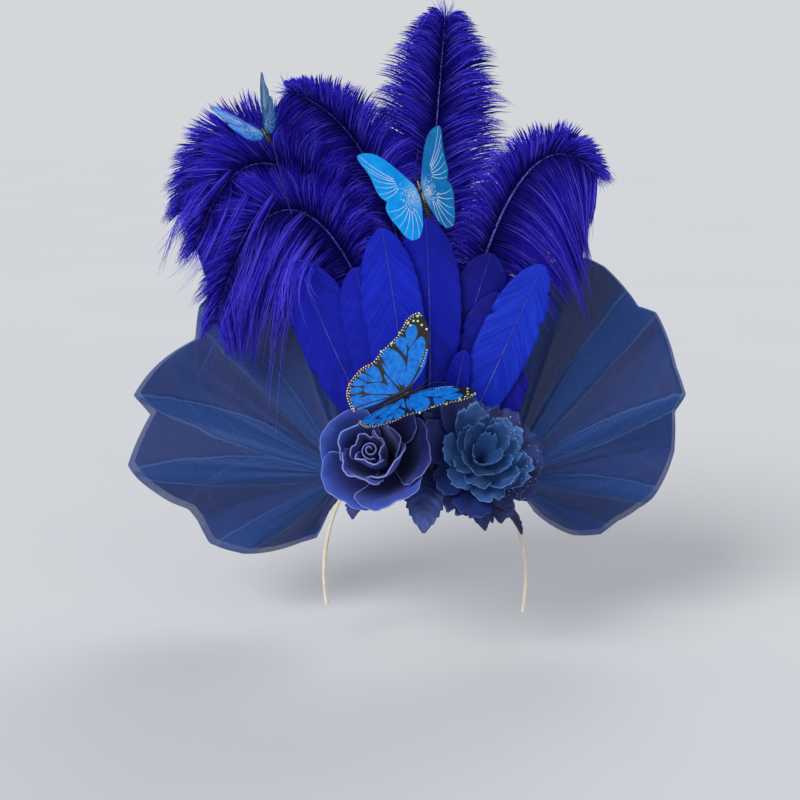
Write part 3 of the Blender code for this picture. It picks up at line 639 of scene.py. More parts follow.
def barb_paths(line, side, length, droop, vane, out):
    """Points along barbs that start at shares of the vane, for shares out from the quill."""
    along = VANE_START + (1 - VANE_START) * vane
    place, heading = quill_curve(line, along)
    first, last = (quill_curve(line, end)[1] for end in (VANE_START, 1.0))
    turn = np.arctan2(heading[..., 0], heading[..., 1])
    start = math.atan2(first[0], first[1])
    bend = math.atan2(last[0], last[1]) - start
    if bend * side > 0:
        turn = start + bend * vane
    angle = turn + side * np.radians(BARB_ANGLES[0] - (BARB_ANGLES[0] - BARB_ANGLES[1]) * vane)
    reach = length * np.sin(np.pi * (0.12 + 0.83 * np.clip(vane, 0.0, 1.0))) ** 0.65
    direction = np.stack([np.sin(angle), np.cos(angle)], -1)
    points = place + direction * (reach * out)[..., None]
    points += heading * (0.07 * reach * np.sin(np.pi * np.clip(out, 0.0, 1.0)))[..., None]
    points[..., 1] -= (droop + 0.32 * np.clip(vane, 0.0, 1.0) ** 3) * reach * out**2
    return points


def strand_form():
    """One three-sided strand, cut into rings and closed to a point at its tip."""
    form = bmesh.new()
    uv = form.loops.layers.uv.new("UVMap")
    bmesh.ops.create_cone(
        form, cap_ends=True, segments=3, radius1=1.0, radius2=1.0, depth=1.0,
        matrix=Matrix.Translation((0.0, 0.0, 0.5)),
    )
    long_edges = [edge for edge in form.edges if abs(edge.verts[0].co.z - edge.verts[1].co.z) > 0.5]
    bmesh.ops.subdivide_edges(form, edges=long_edges, cuts=RINGS - 2, use_grid_fill=True)
    tip = [point for point in form.verts if point.co.z > 0.999]
    bmesh.ops.pointmerge(form, verts=tip, merge_co=Vector((0.0, 0.0, 1.0)))
    for face in form.faces:
        for corner in face.loops:
            corner[uv].uv = (corner.vert.co.z, 0.5)
    return formed("strand", form)


def lay_strands(name, paths, radii, shades, finish):
    """An array of strands, each laid along its own path. Its UV map holds the share along and its shade."""
    count = len(paths)
    holder = strand_form()
    single = np.zeros(len(holder.data.vertices) * 3, np.float32)
    holder.data.vertices.foreach_get("co", single)
    single = single.reshape(-1, 3)
    ring = np.rint(single[:, 2] * (RINGS - 1)).astype(int)
    corners = len(holder.data.loops)
    copies = holder.modifiers.new("copies", "ARRAY")
    copies.count = count
    copies.use_relative_offset = False
    graph = bpy.context.evaluated_depsgraph_get()
    mesh = bpy.data.meshes.new_from_object(holder.evaluated_get(graph))
    bpy.data.objects.remove(holder)
    forward = np.gradient(paths, axis=1)
    forward /= np.linalg.norm(forward, axis=-1, keepdims=True) + 1e-12
    aside = np.cross(forward, np.array([0.0, 1.0, 0.0]))
    aside /= np.linalg.norm(aside, axis=-1, keepdims=True) + 1e-12
    ahead = np.cross(forward, aside)
    places = (
        paths[:, ring]
        + (radii[:, ring] * single[:, 0])[..., None] * aside[:, ring]
        + (radii[:, ring] * single[:, 1])[..., None] * ahead[:, ring]
    )
    mesh.vertices.foreach_set("co", places.astype(np.float32).ravel())
    uv = np.zeros(count * corners * 2, np.float32)
    mesh.uv_layers[0].data.foreach_get("uv", uv)
    uv = uv.reshape(count, corners, 2)
    uv[:, :, 1] = np.asarray(shades)[:, None]
    mesh.uv_layers[0].data.foreach_set("uv", uv.ravel())
    mesh.update()
    mesh.shade_smooth()
    mesh.materials.clear()
    mesh.materials.append(finish)
    mesh.name = name
    return stood(name, mesh)


def ostrich_finish(name, deep, middle, bright):
    """Soft dyed barbs, dark at the quill and more violet to their ends, each a little unlike, with painted
    highlights on bright strands and painted shade on deep ones.
    """
    material, tree, shader = finish_of(name, 0.65, Specular_IOR_Level=0.12)
    place = flat_share(tree)
    outer = blend(tree, ease(tree, place[0], 0.0, 0.45), deep, middle)
    # Painted shade: strands of a low shade, the down among them, take the deep tone.
    outer = blend(tree, ease(tree, place[1], 0.0, 0.25), deep, outer)
    # Painted highlight: strands of a high shade are brightened on their outer part.
    lit = reckon(tree, "MULTIPLY", ease(tree, place[1], 0.55, 1.0), ease(tree, place[0], 0.02, 0.4))
    paint(tree, shader, blend(tree, lit, outer, bright))
    return material


def layered(spots, depth, deeper=0.0):
    """Points of a picture plane set at their layer's depth, and that much deeper."""
    back = layer_depth(depth, spots[..., 1]) + deeper
    return np.stack([spots[..., 0], back, spots[..., 1]], -1)


def tapered(count, steps, thick, loss):
    """The radii of that many strands, which lose that share of their thickness to the tip."""
    return np.full((count, 1), thick) * (1 - loss * steps)


def side_barbs(line, depth, side, length, droop, locks, chance):
    """One side's barbs, drawn together in locks, each with barbules about it."""
    count = BARBS_A_SIDE
    vane = (np.arange(count) + chance.uniform(0.0, 1.0, count)) / count
    number_of = np.minimum((vane * locks).astype(int), locks - 1)
    lock = (number_of + 0.5) / locks
    lean = chance.normal(0.0, 0.055, locks)[number_of][:, None]
    fall = chance.uniform(0.02, 0.20, locks)[number_of][:, None]
    peak = 1 - np.abs(2 * ((vane * locks) % 1.0) - 1)
    reach = (0.84 + 0.16 * peak) * chance.uniform(0.92, 1.06, count)
    reach *= chance.uniform(0.90, 1.08, locks)[number_of]
    for number in range(BARBULES):
        main = number == 0
        begin = np.zeros(count) if main else chance.uniform(0.0, 0.30, count) * (number % 3 > 0)
        end = np.ones(count) if main else chance.uniform(0.60, 1.03, count)
        out = begin[:, None] + (end - begin)[:, None] * STEPS
        own = barb_paths(line, side, length, droop, vane[:, None] + 0 * out, out * reach[:, None])
        to = barb_paths(line, side, length, droop, lock[:, None] + 0 * out, out * reach[:, None])
        draw = CLUMPING * chance.uniform(0.5, 1.15, count)[:, None, None] * out[..., None] ** 1.7
        spots = own + (to - own) * draw
        spots = spots - own[:, :1]
        cosine, sine = np.cos(lean * out), np.sin(lean * out)
        level, upright, sunk = spots[..., 0], spots[..., 1], fall * length * out**2.5
        spots = np.stack([level * cosine + upright * sine, upright * cosine - level * sine - sunk], -1)
        spots = spots + own[:, :1]
        wide = 0.0 if main else 0.0012
        stray = chance.normal(0.0, 1.0, (count, 1, 2)) * wide * (0.35 + out[..., None])
        swing = chance.uniform(0, 6.28, (count, 1))
        curl = 0.0014 * np.sin(swing + out * chance.uniform(3.0, 8.0, (count, 1))) * out
        spots = spots + stray + np.stack([curl, -curl], -1)
        deep = chance.normal(0.0, 1.0, (count, 1)) * (0.0013 if main else 0.0018)
        deep = deep + 0.0042 * chance.normal(0.0, 1.0, (count, 1)) * out**1.3
        room = VANE_DEPTH + 0.006 * out
        paths = layered(spots, depth, np.clip(deep, -room, room))
        radii = tapered(count, STEPS, BARB_RADIUS if main else BARBULE_RADIUS, 0.72)
        yield paths, radii, chance.uniform(0.35 if main else 0.10, 1.0, count)


def shaded_down(line, depth, side, length, droop, chance):
    """Thick soft strands behind one side's barbs, painted deep so that they fill the gaps between barbs with
    painted shade.
    """
    vane = (np.arange(DOWN_A_SIDE) + chance.uniform(0.0, 1.0, DOWN_A_SIDE)) / DOWN_A_SIDE
    out = STEPS * chance.uniform(0.66, 0.93, DOWN_A_SIDE)[:, None]
    spots = barb_paths(line, side, length, droop, vane[:, None] + 0 * out, out)
    paths = layered(spots, depth, chance.uniform(0.0008, 0.0030, (DOWN_A_SIDE, 1)))
    # Their low shades give them the deep tone, painted shade between the barbs.
    return paths, tapered(DOWN_A_SIDE, STEPS**2, DOWN_RADIUS, 0.85), chance.uniform(0.04, 0.24, DOWN_A_SIDE)


def tip_tuft(line, depth, chance):
    """The tuft that closes a plume's tip."""
    tips = chance.uniform(0.90, 1.0, TIP_BARBS)
    place, heading = quill_curve(line, VANE_START + (1 - VANE_START) * tips)
    fan = np.arctan2(heading[:, 0], heading[:, 1]) + chance.normal(0.0, 0.42, TIP_BARBS)
    reach = chance.uniform(0.008, 0.019, TIP_BARBS)[:, None] * STEPS
    bent = fan[:, None] + chance.normal(0.0, 0.35, (TIP_BARBS, 1)) * STEPS
    spots = place[:, None] + np.stack([np.sin(bent) * reach, np.cos(bent) * reach], -1)
    paths = layered(spots, depth, chance.normal(0.0, 0.002, (TIP_BARBS, 1)) * STEPS)
    return paths, tapered(TIP_BARBS, STEPS, TIP_RADIUS, 0.7), chance.uniform(0.1, 1.0, TIP_BARBS)


def loose_wisp(line, depth, vane, ends, count, front, chance):
    """A few barbs that leave the left side of the vane and fall over the layers in front."""
    start, first = barb_paths(line, -1, BARB_LENGTH, 0.3, np.array([vane, vane]), np.array([0.0, 0.55]))
    t = STEPS * chance.uniform(0.70, 1.03, (count, 1))
    end = np.array(ends) + chance.normal(0.0, 0.0032, (count, 1, 2))
    knee = first + chance.normal(0.0, 0.0030, (count, 1, 2))
    spots = start * ((1 - t) ** 2)[..., None] + knee * (2 * t * (1 - t))[..., None]
    spots = spots + end * (t**2)[..., None]
    spots[..., 0] += 0.0012 * np.sin(chance.uniform(0, 6.28, (count, 1)) + 7 * t) * t
    forward = (depth + front) * np.sin(np.pi / 2 * np.minimum(1.0, 1.8 * t)) ** 2
    paths = layered(spots, depth, -0.004 * STEPS - forward)
    return paths, tapered(count, STEPS, WISP_RADIUS, 0.75), chance.uniform(0.45, 1.0, count)


def ostrich_plume(name, layer, root_x, curve, lengths, droops, locks, wisps, finish, chance):
    """All the barbs of one plume. Returns its quill's curve and how far back it stands."""
    line, depth = plume_line(layer, root_x, curve)
    bundles = []
    for side, share, droop in zip((-1, 1), lengths, droops):
        length = BARB_LENGTH * share
        bundles += side_barbs(line, depth, side, length, droop, locks, chance)
        bundles.append(shaded_down(line, depth, side, length, droop, chance))
    bundles.append(tip_tuft(line, depth, chance))
    bundles += [loose_wisp(line, depth, *wisp, chance) for wisp in wisps]
    paths, radii, shades = (np.concatenate(parts) for parts in zip(*bundles))
    plume = lay_strands(f"ostrich_{name}", paths, radii, shades, finish)
    fitted(plume, "ultramarine_ostrich", f"plume_{name}")
    return line, depth


def shaft(name, centre, radius, around, rows, finish):
    """A round tapering shaft along centre(share), of radius(share), closed at both ends."""
    step = 0.001

    def surface(across, along):
        place = centre(along)
        ahead = (centre(min(1.0, along + step)) - centre(max(0.0, along - step))).normalized()
        aside = ahead.cross(Vector((0.0, 1.0, 0.0))).normalized()
        turn = 2 * math.pi * across
        return place + (aside * math.cos(turn) + ahead.cross(aside) * math.sin(turn)) * radius(along)

    return sheet_mesh(name, around, rows, surface, finish, loop=True, capped=True)


# Wisps that hang loose over the net and the goose feathers: where each leaves its vane, where it ends, how
# many barbs it has and how far forward it falls
WISPS = {
    "left_low": (
        (0.22, (-0.066, 0.102), 16, 0.027), (0.27, (-0.082, 0.078), 18, 0.027),
        (0.32, (-0.097, 0.066), 16, 0.024), (0.36, (-0.110, 0.040), 18, 0.020),
        (0.28, (-0.112, -0.014), 4, 0.018), (0.33, (-0.125, -0.002), 4, 0.014),
        (0.38, (-0.128, 0.050), 18, 0.012), (0.45, (-0.142, 0.008), 4, 0.010),
        (0.52, (-0.143, 0.070), 18, 0.006), (0.62, (-0.155, 0.066), 16, 0.004),
        (0.72, (-0.165, 0.078), 14, 0.002), (0.82, (-0.179, 0.037), 4, 0.0),
    ),
    "left_middle": (
        (0.30, (-0.118, 0.118), 14, 0.010), (0.45, (-0.145, 0.112), 14, 0.006),
        (0.60, (-0.176, 0.112), 14, 0.0), (0.75, (-0.190, 0.108), 14, 0.0), (0.88, (-0.196, 0.122), 12, 0.0),
    ),
    "left_high": (
        (0.60, (-0.200, 0.148), 14, 0.0), (0.75, (-0.210, 0.140), 14, 0.0), (0.90, (-0.208, 0.120), 12, 0.0),
    ),
}
# The deep tone is also painted shade, and the bright tone a painted highlight.
ostrich_dye = ostrich_finish(
    "ultramarine_ostrich", (0.005, 0.002, 0.170), (0.022, 0.010, 0.600), (0.150, 0.120, 1.000)
)


def quill_finish(name, light, dark):
    """Smooth horn that has taken the dye unevenly."""
    return dyed_finish(name, 0.4, light, dark, 120.0, 1500.0, 0.2, 0.0002, Specular_IOR_Level=0.5)


def tapering(thick, loss=0.0):
    """The radius of a shaft that loses that share of its thickness to its end."""
    return lambda share: thick * (1 - share * loss)


pale_quill = quill_finish("pale_quill", (0.130, 0.100, 0.560), (0.070, 0.045, 0.430))
dark_quill = quill_finish("dark_quill", (0.045, 0.030, 0.360), (0.022, 0.012, 0.240))
chance = np.random.default_rng(41)
for name, layer, root_x, curve, lengths, droops, locks in PLUMES:
    line, depth = ostrich_plume(
        name, layer, root_x, curve, lengths, droops, locks, WISPS.get(name, ()), ostrich_dye, chance
    )

    def quill_place(share, line=line, depth=depth):
        place = quill_curve(line, share)[0]
        front = float(layer_depth(depth, place[1])) - QUILL_PROUD * min(1.0, share * 4)
        return Vector((place[0], front, place[1]))

    shown = pale_quill if name in ("centre", "right") else dark_quill
    quill = shaft(f"quill_{name}", quill_place, tapering(QUILL_RADIUS, 0.74), 8, 44, shown)
    fitted(quill, "ultramarine_ostrich")


# The goose feathers: nine flat satin feathers dyed royal blue, trimmed to a round tip and glued to the
# pad in front of the plumes, overlapping like shingles.

GOOSE_LENGTH = 0.180
GOOSE_WIDTH = 0.040
GOOSE_QUILL = 0.0022
GOOSE_PITCH = 0.0036
GOOSE_CAMBER = 0.0010
GOOSE_FRONT = 0.006 + GOOSE_PITCH * 4
VANE_THICKNESS = 0.0006
RACHIS_RADIUS = 0.0009
RACHIS_PROUD = 0.0005
GOOSE_SUNK = 0.0003
DOWN_BARBS = 150
FLUFF_RADIUS = 0.00038

# name, layer, root, bend, tip, width and dye
GOOSE_FEATHERS = (
    ("centre_left", 0, -0.050, (-0.09, 0.50), (-0.165, 0.92), 1.15, "bright"),
    ("centre", 2, 0.020, (0.04, 0.55), (0.010, 0.955), 1.30, "royal"),
    ("right_dark", 4, 0.070, (0.17, 0.50), (0.275, 0.815), 1.20, "deep"),
    ("right_inner", 3, 0.120, (0.22, 0.35), (0.310, 0.655), 0.95, "deep"),
    ("right_light", 1, 0.150, (0.33, 0.40), (0.485, 0.775), 1.05, "pale"),
    ("right_tuft", 0, 0.100, (0.14, 0.28), (0.175, 0.42), 0.45, "royal"),
    ("right_low", 2, 0.190, (0.34, 0.20), (0.400, 0.345), 0.70, "deep"),
    ("left_inner", 1, -0.100, (-0.20, 0.45), (-0.280, 0.755), 1.20, "royal"),
    ("left_outer", 2, -0.160, (-0.38, 0.35), (-0.520, 0.780), 1.30, "royal"),
)
GOOSE_DYES = {
    "bright": ((0.003, 0.020, 0.560), (0.001, 0.006, 0.340)),
    "pale": ((0.006, 0.040, 0.600), (0.001, 0.012, 0.380)),
    "royal": ((0.002, 0.010, 0.460), (0.001, 0.004, 0.270)),
    "deep": ((0.002, 0.004, 0.300), (0.001, 0.002, 0.170)),
}


def vane_width(along):
    """Half the vane's width along the feather: a bare quill, a broad blade and a rounded point."""
    blade = max(0.0, (along - 0.03) / 0.97)
    swell = math.sin(math.pi / 2 * min(1.0, blade / 0.55)) ** 0.75
    tip = max(0.0, 1 - (max(0.0, blade - 0.56) / 0.445) ** 2.3) ** 0.60
    return swell * tip


def goose_line(root_x, bend, tip, depth):
    """The four points of a feather's curve, from the pad up."""
    x = root_x * GOOSE_LENGTH
    root = Vector((x, dome_height(x, depth, PAD_OUTSIDE) - GOOSE_SUNK))
    bend, tip = Vector(bend) * GOOSE_LENGTH, Vector(tip) * GOOSE_LENGTH
    return (root, root.lerp(bend, 0.67), tip.lerp(bend, 0.5), tip)


def goose_surface(line, depth, width, splits, lopsided):
    """A vane that curls back a little at its sides, wavy and split here and there at its edge."""

    def surface(across, along):
        place, heading = (Vector(pair) for pair in quill_curve(line, along))
        side = 2 * across - 1
        half = max(GOOSE_QUILL / 2, GOOSE_WIDTH / 2 * width * vane_width(along))
        half *= 1 - 0.022 * abs(math.sin(along * 43 + 3 * side + depth * 900)) * min(1.0, along * 4)
        for hand, spot, cut in splits:
            half *= 1 - cut * max(0.0, 1 - abs(along - spot) / 0.022) * max(0.0, hand * side) ** 2
        half *= 1 + 0.08 * side * lopsided
        ripple = 0.00030 * math.sin(along * 61 + side * 7) + 0.0006 * math.sin(along * 17 + 2 * side)
        sideways = Vector((heading.y, -heading.x))
        swept = place + sideways * (side * half) - heading * (0.20 * abs(side) * half)
        back = GOOSE_CAMBER * side**2 * min(1.0, half / GOOSE_WIDTH * 2)
        back += ripple * abs(side) * min(1.0, half / GOOSE_WIDTH * 3)
        return Vector((swept.x, float(layer_depth(depth, swept.y)) + back, swept.y))

    return surface


# Lines that slant away from a sheet's middle: used as barbs on the goose dyes and as pressed veins on silk
barbs, given, made = effect_group(
    "slanting_barbs",
    {"Count": 150.0, "Slant": 0.10},
    {"Height": "NodeSocketFloat", "Streak": "NodeSocketFloat"},
)
flat_place = flat_share(barbs)
off = reckon(barbs, "ABSOLUTE", reckon(barbs, "SUBTRACT", flat_place[0], 0.5))
slanted = reckon(barbs, "SUBTRACT", flat_place[1], reckon(barbs, "MULTIPLY", off, given["Slant"]))
lines = reckon(barbs, "MULTIPLY", slanted, reckon(barbs, "MULTIPLY", given["Count"], 6.283))
barbs.links.new(reckon(barbs, "SINE", lines), made["Height"])
along_and_off = {0: reckon(barbs, "MULTIPLY", slanted, 46.0), 1: reckon(barbs, "MULTIPLY", off, 1.5)}
bands = node(barbs, "CombineXYZ", along_and_off)
streak = node(barbs, "TexNoise", {"Vector": bands.outputs[0], "Scale": 1.0, "Detail": 3.0})
barbs.links.new(ease(barbs, streak.outputs["Fac"], 0.30, 0.74), made["Streak"])


def goose_finish(name, light, dark):
    """Satin barbs in streaks of two tones, with painted shade darkening the foot under the feathers in front.
    """
    material, tree, shader = finish_of(name, 0.5, Specular_IOR_Level=0.18)
    vane = effect(tree, barbs, Count=150.0, Slant=-0.30)
    place = flat_share(tree)
    tone = blend(tree, vane["Streak"], dark, light)
    # Painted shade: towards the foot each feather is blended to its dark tone.
    foot = ease(tree, place[1], 0.10, 0.75, 0.75, 0.0)
    paint(tree, shader, blend(tree, foot, tone, dark))
    bump(tree, shader, vane["Height"], 0.18, 0.0002)
    return material


goose_dyes = {dye: goose_finish(f"{dye}_goose", *tones) for dye, tones in GOOSE_DYES.items()}
goose_quill = quill_finish("goose_quill", (0.040, 0.065, 0.480), (0.012, 0.022, 0.330))
# The goose down has the same painted highlight and painted shade.
down_dye = ostrich_finish("goose_down", (0.002, 0.002, 0.070), (0.004, 0.010, 0.260), (0.015, 0.035, 0.520))
chance = np.random.default_rng(12)
for name, layer, root_x, bend, tip, width, dye in GOOSE_FEATHERS:
    depth = -(GOOSE_FRONT - GOOSE_PITCH * layer)
    line = goose_line(root_x, bend, tip, depth)
    splits = [
        (chance.choice((-1, 1)), chance.uniform(0.45, 0.92), chance.uniform(0.06, 0.20)) for _ in range(3)
    ]
    surface = goose_surface(line, depth, width, splits, chance.choice((-1, 1)))
    vane = sheet_mesh(f"satin_{name}", 16, 96, surface, goose_dyes[dye])
    wall(vane, VANE_THICKNESS)
    fitted(vane, "royal_goose", f"goose_{name}")

    def rachis(share, line=line, depth=depth):
        place = quill_curve(line, share * 0.985)[0]
        return Vector((place[0], float(layer_depth(depth, place[1]) - RACHIS_PROUD), place[1]))

    quill = shaft(f"rachis_{name}", rachis, tapering(RACHIS_RADIUS, 0.8), 8, 40, goose_quill)
    fitted(quill, "royal_goose")
    place, heading = quill_curve(line, chance.uniform(0.015, 0.20, DOWN_BARBS))
    turn = np.arctan2(heading[:, 0], heading[:, 1])
    turn = turn + chance.choice((-1, 1), DOWN_BARBS) * chance.uniform(0.35, 1.35, DOWN_BARBS)
    turn = turn[:, None] + chance.normal(0.0, 0.5, (DOWN_BARBS, 1)) * STEPS
    reach = chance.uniform(0.008, 0.018, DOWN_BARBS)[:, None] * STEPS
    spots = place[:, None] + np.stack([np.sin(turn) * reach, np.cos(turn) * reach], -1)
    paths = layered(spots, depth, chance.normal(0.0, 0.003, (DOWN_BARBS, 1)) * STEPS)
    shades = chance.uniform(0.0, 1.0, DOWN_BARBS)
    thick = tapered(DOWN_BARBS, STEPS, FLUFF_RADIUS, 0.7)
    fitted(lay_strands(f"down_{name}", paths, thick, shades, down_dye), "royal_goose")


# The leaves: five pointed silk leaves, starched and pressed with veins, that are glued under the flowers
# and lie over the forehead. Their cut edges are toothed and have taken more dye.

LEAF_LENGTH = 0.040
LEAF_WIDTH = 0.024
LEAF_SHEET = 0.001
LEAF_TEETH = 9

# name, where it is glued, its heading (all in degrees), length, width, lift and dye
LEAVES = (
    ("left", (-41.0, 21.5), -45.0, 0.85, 0.9, 0.10, "dark"),
    ("under_rose", (-29.0, 25.5), -8.0, 0.95, 0.9, 0.02, "mid"),
    ("middle", (4.0, 30.5), 1.0, 1.10, 1.1, 0.02, "mid"),
    ("right", (23.0, 27.5), 22.0, 1.05, 0.95, 0.02, "mid"),
    ("far_right", (42.0, 20.5), 38.0, 0.90, 0.9, 0.06, "dark"),
)
LEAF_DYES = {
    "dark": ((0.020, 0.026, 0.110), (0.008, 0.010, 0.045)),
    "mid": ((0.045, 0.085, 0.300), (0.018, 0.030, 0.150)),
}


def leaf_surface(seat, heading, length, width, raised):
    """A pointed leaf laid over the head, with a toothed edge and its sides a little raised."""
    turn = math.radians(heading)
    degrees = math.degrees(LEAF_LENGTH * length / (HEAD_DEPTH / 2))

    def surface(across, along):
        side = 2 * across - 1
        half = 0.5 * LEAF_WIDTH / LEAF_LENGTH * width / length
        half *= max(0.10, math.sin(math.pi * min(1.0, 0.08 + 0.92 * along)) ** 0.8)
        tooth = (along * LEAF_TEETH) % 1.0
        half *= 1 - 0.16 * (1 - tooth) * min(1.0, along * 6) * abs(side) ** 4
        ahead, beside = along * degrees, side * half * degrees
        lift = PAD_SEAT + LEAF_SHEET * 0.6 + raised * LEAF_LENGTH * (along + 0.5 * side**2 * along)
        lift += 0.0011 * abs(side) ** 1.5 * math.sin(math.pi * along)
        ribs = math.sin(6.283 * (along * 6 - 1.6 * abs(side)))
        lift += 0.0005 * ribs * abs(side) * math.sin(math.pi * along)
        return skull_point(
            seat[0] + ahead * math.sin(turn) * 1.3 + beside * math.cos(turn) * 1.3,
            seat[1] + ahead * math.cos(turn) - beside * math.sin(turn),
            lift,
        )

    return surface


def silk_finish(name, light, dark, veins, slant, edge, edge_strength, patch):
    """Starched silk: uneven dye, a thread's weave, pressed veins and a cut edge of another tone."""
    material, tree, shader = finish_of(name, 0.5, Sheen_Weight=0.25, Sheen_Roughness=0.35,
                                       Sheen_Tint=(0.35, 0.50, 0.95, 1.0), Specular_IOR_Level=0.35)
    dye = mottled(tree, light, dark, patch, 1800.0)
    pressed = effect(tree, barbs, Count=veins, Slant=slant)
    cut = effect(tree, rim, Width=0.05, Sides=1.0)["Mask"]
    lined = blend(tree, reckon(tree, "MULTIPLY", pressed["Streak"], 0.35), dye["Colour"], light)
    cut = reckon(tree, "MULTIPLY", cut, edge_strength)
    paint(tree, shader, blend(tree, cut, lined, edge))
    woven = effect(tree, weave, Across=900.0, Along=900.0)["Height"]
    height = reckon(tree, "ADD", reckon(tree, "MULTIPLY", woven, 0.12), pressed["Height"])
    bump(tree, shader, height, 0.35, 0.0003)
    return material


leaf_silks = {
    dye: silk_finish(f"{dye}_leaf_silk", light, dark, 8.0, 0.35, dark, 0.8, 75.0)
    for dye, (light, dark) in LEAF_DYES.items()
}
for name, seat, heading, length, width, raised, dye in LEAVES:
    surface = leaf_surface(seat, heading, length, width, raised)
    leaf = sheet_mesh(f"silk_leaf_{name}", 14, 54, surface, leaf_silks[dye])
    wall(leaf, LEAF_SHEET * 0.6)
    fitted(leaf, "leaf_silk", f"leaf_{name}")


# The foam rose: twelve petals of thin foam on a rolled bud, heat-curled at the rim and glued round a stem.
# Each petal is painted darker to its foot as shade inside the flower, some petals and the bud take a darker
# copy as painted shade, and every cut rim shows as a pale line that is partly a painted highlight.

ROSE_RADIUS = 0.041
ROSE_HEIGHT = 0.036
ROSE_SHEET = 0.001
ROSE_CALYX = 0.014
ROSE_SEAT = (-17.0, 27.0)
ROSE_AIM = (-9.0, 30.0)
ROSE_FOOT = 0.004
ROSE_PINWHEEL = 0.0016
ROSE_CURL = 0.0016
BUD_TURNS = 1.75

# name, petals, spin, spread, foot and profile from foot to rim
ROSE_RINGS = (
    ("rose_inner", 3, 20, 78, 0.115, ((0.22, 0.25), (0.30, 0.75), (0.20, 1.04))),
    ("rose_middle", 4, 55, 62, 0.185, ((0.42, 0.12), (0.52, 0.70), (0.50, 0.98))),
    ("rose_outer", 5, 10, 50, 0.290, ((0.66, 0.02), (0.80, 0.44), (1.00, 0.66))),
)


def facing_way(turn, tilt):
    """The unit vector that faces that many degrees round from the front, and up."""
    turn, tilt = math.radians(turn), math.radians(tilt)
    return Vector((math.sin(turn) * math.cos(tilt), -math.cos(turn) * math.cos(tilt), math.sin(tilt)))


def flower_frame(seat, axis, foot, length):
    """The matrix of a flower's heart: its +Z faces out along the axis, a calyx's length from the pad."""
    x, y, z = skull_point(*seat, 0.0)
    slope = (x / (HEAD_WIDTH / 2) ** 2, y / (HEAD_DEPTH / 2) ** 2, (z + CROWN_HEIGHT) / CROWN_HEIGHT**2)
    normal = Vector(slope).normalized()
    tilt = math.acos(max(-1.0, min(1.0, normal.dot(axis))))
    heart = skull_point(*seat, PAD_SEAT) + normal * (foot * math.sin(tilt)) + axis * length
    return Matrix.Translation(heart) @ axis.to_track_quat("Z", "Y").to_matrix().to_4x4()


def rose_petal(petals, spin, spread, foot, profile, number, place_in, phase):
    """One petal of a ring: it laps over the next like a pinwheel and rolls back at its waved rim."""
    start = Vector((foot * ROSE_RADIUS, ROSE_SHEET / 2 + SEAT_GAP + ROSE_PINWHEEL * 0.55))
    line = (start, *(Vector((r * ROSE_RADIUS, z * ROSE_HEIGHT)) for r, z in profile))
    middle = math.radians(spin + 360 / petals * number)

    def surface(across, along):
        side = 2 * across - 1
        notch = 0.045 * math.sin(5.0 * side + phase) + 0.030 * math.sin(13 * side + 2 * phase)
        rounded = along * (1 - (0.20 * abs(side) ** 2.5 + 0.05 * abs(notch) * 8) * along)
        place, heading = (Vector(pair) for pair in quill_curve(line, rounded))
        wide = 0.62 + 0.38 * math.sin(math.pi * min(1.0, 0.62 * along + 0.12))
        outward = Vector((heading.y, -heading.x))
        place += outward * (ROSE_PINWHEEL * side * (0.55 + 0.45 * along))
        roll = max(0.0, (along - 0.80) / 0.20)
        place += outward * (ROSE_CURL * roll**2) - heading * (0.0006 * roll**2)
        place += outward * (0.0016 * math.sin(6 * side + phase) * along**3)
        place += outward * (0.0008 * abs(math.sin(9 * side + 2 * phase)) * along**5)
        angle = middle + math.radians(spread) * wide * side
        return place_in @ Vector((place.x * math.cos(angle), place.x * math.sin(angle), place.y))

    return surface


def foam_finish(name, light, dark, edge):
    """Soft foam: powdery, darker down inside the flower as painted shade, with pale cut rims that are partly
    a painted highlight.
    """
    material, tree, shader = finish_of(name, 0.72, Sheen_Weight=0.45, Sheen_Roughness=0.45,
                                       Sheen_Tint=(0.40, 0.45, 1.0, 1.0), Specular_IOR_Level=0.25)
    dye = mottled(tree, light, [0.75 * tone for tone in light], 90.0, 2200.0)
    place = flat_share(tree)
    # Painted shade: dark at the foot of each petal, lighter towards its rim.
    inner = ease(tree, place[1], 0.25, 0.95)
    body = blend(tree, inner, dark, dye["Colour"])
    # The pale cut rim is partly a painted highlight.
    cut = effect(tree, rim, Width=0.016, Sides=1.6)["Mask"]
    paint(tree, shader, blend(tree, cut, body, edge))
    bump(tree, shader, dye["Height"], 0.25, 0.0002)
    return material


foam = foam_finish("violet_foam", (0.040, 0.084, 0.440), (0.007, 0.008, 0.080), (0.240, 0.275, 0.640))
# A darker copy of the foam, painted shade for the petals and the bud that lie in shade.
shaded_foam = foam_finish(
    "shaded_violet_foam", (0.022, 0.028, 0.210), (0.004, 0.004, 0.038), (0.190, 0.210, 0.540)
)
rose_frame = flower_frame(ROSE_SEAT, facing_way(*ROSE_AIM), ROSE_FOOT, ROSE_CALYX)
for ring_name, petals, spin, spread, foot, profile in ROSE_RINGS:
    for number in range(petals):
        phase = 1.7 * number + spin
        surface = rose_petal(petals, spin, spread, foot, profile, number, rose_frame, phase)
        # Petals on one side of the flower take the darker copy, as painted shade.
        shaded = math.sin(math.radians(spin + 360 / petals * number + 20)) > 0.3
        dyed = shaded_foam if shaded else foam
        petal = sheet_mesh(f"foam_{ring_name}_{number + 1}", 30, 22, surface, dyed)
        wall(petal, ROSE_SHEET * 0.9)
        fitted(petal, "violet_foam", f"{ring_name}_petal_{number + 1}")


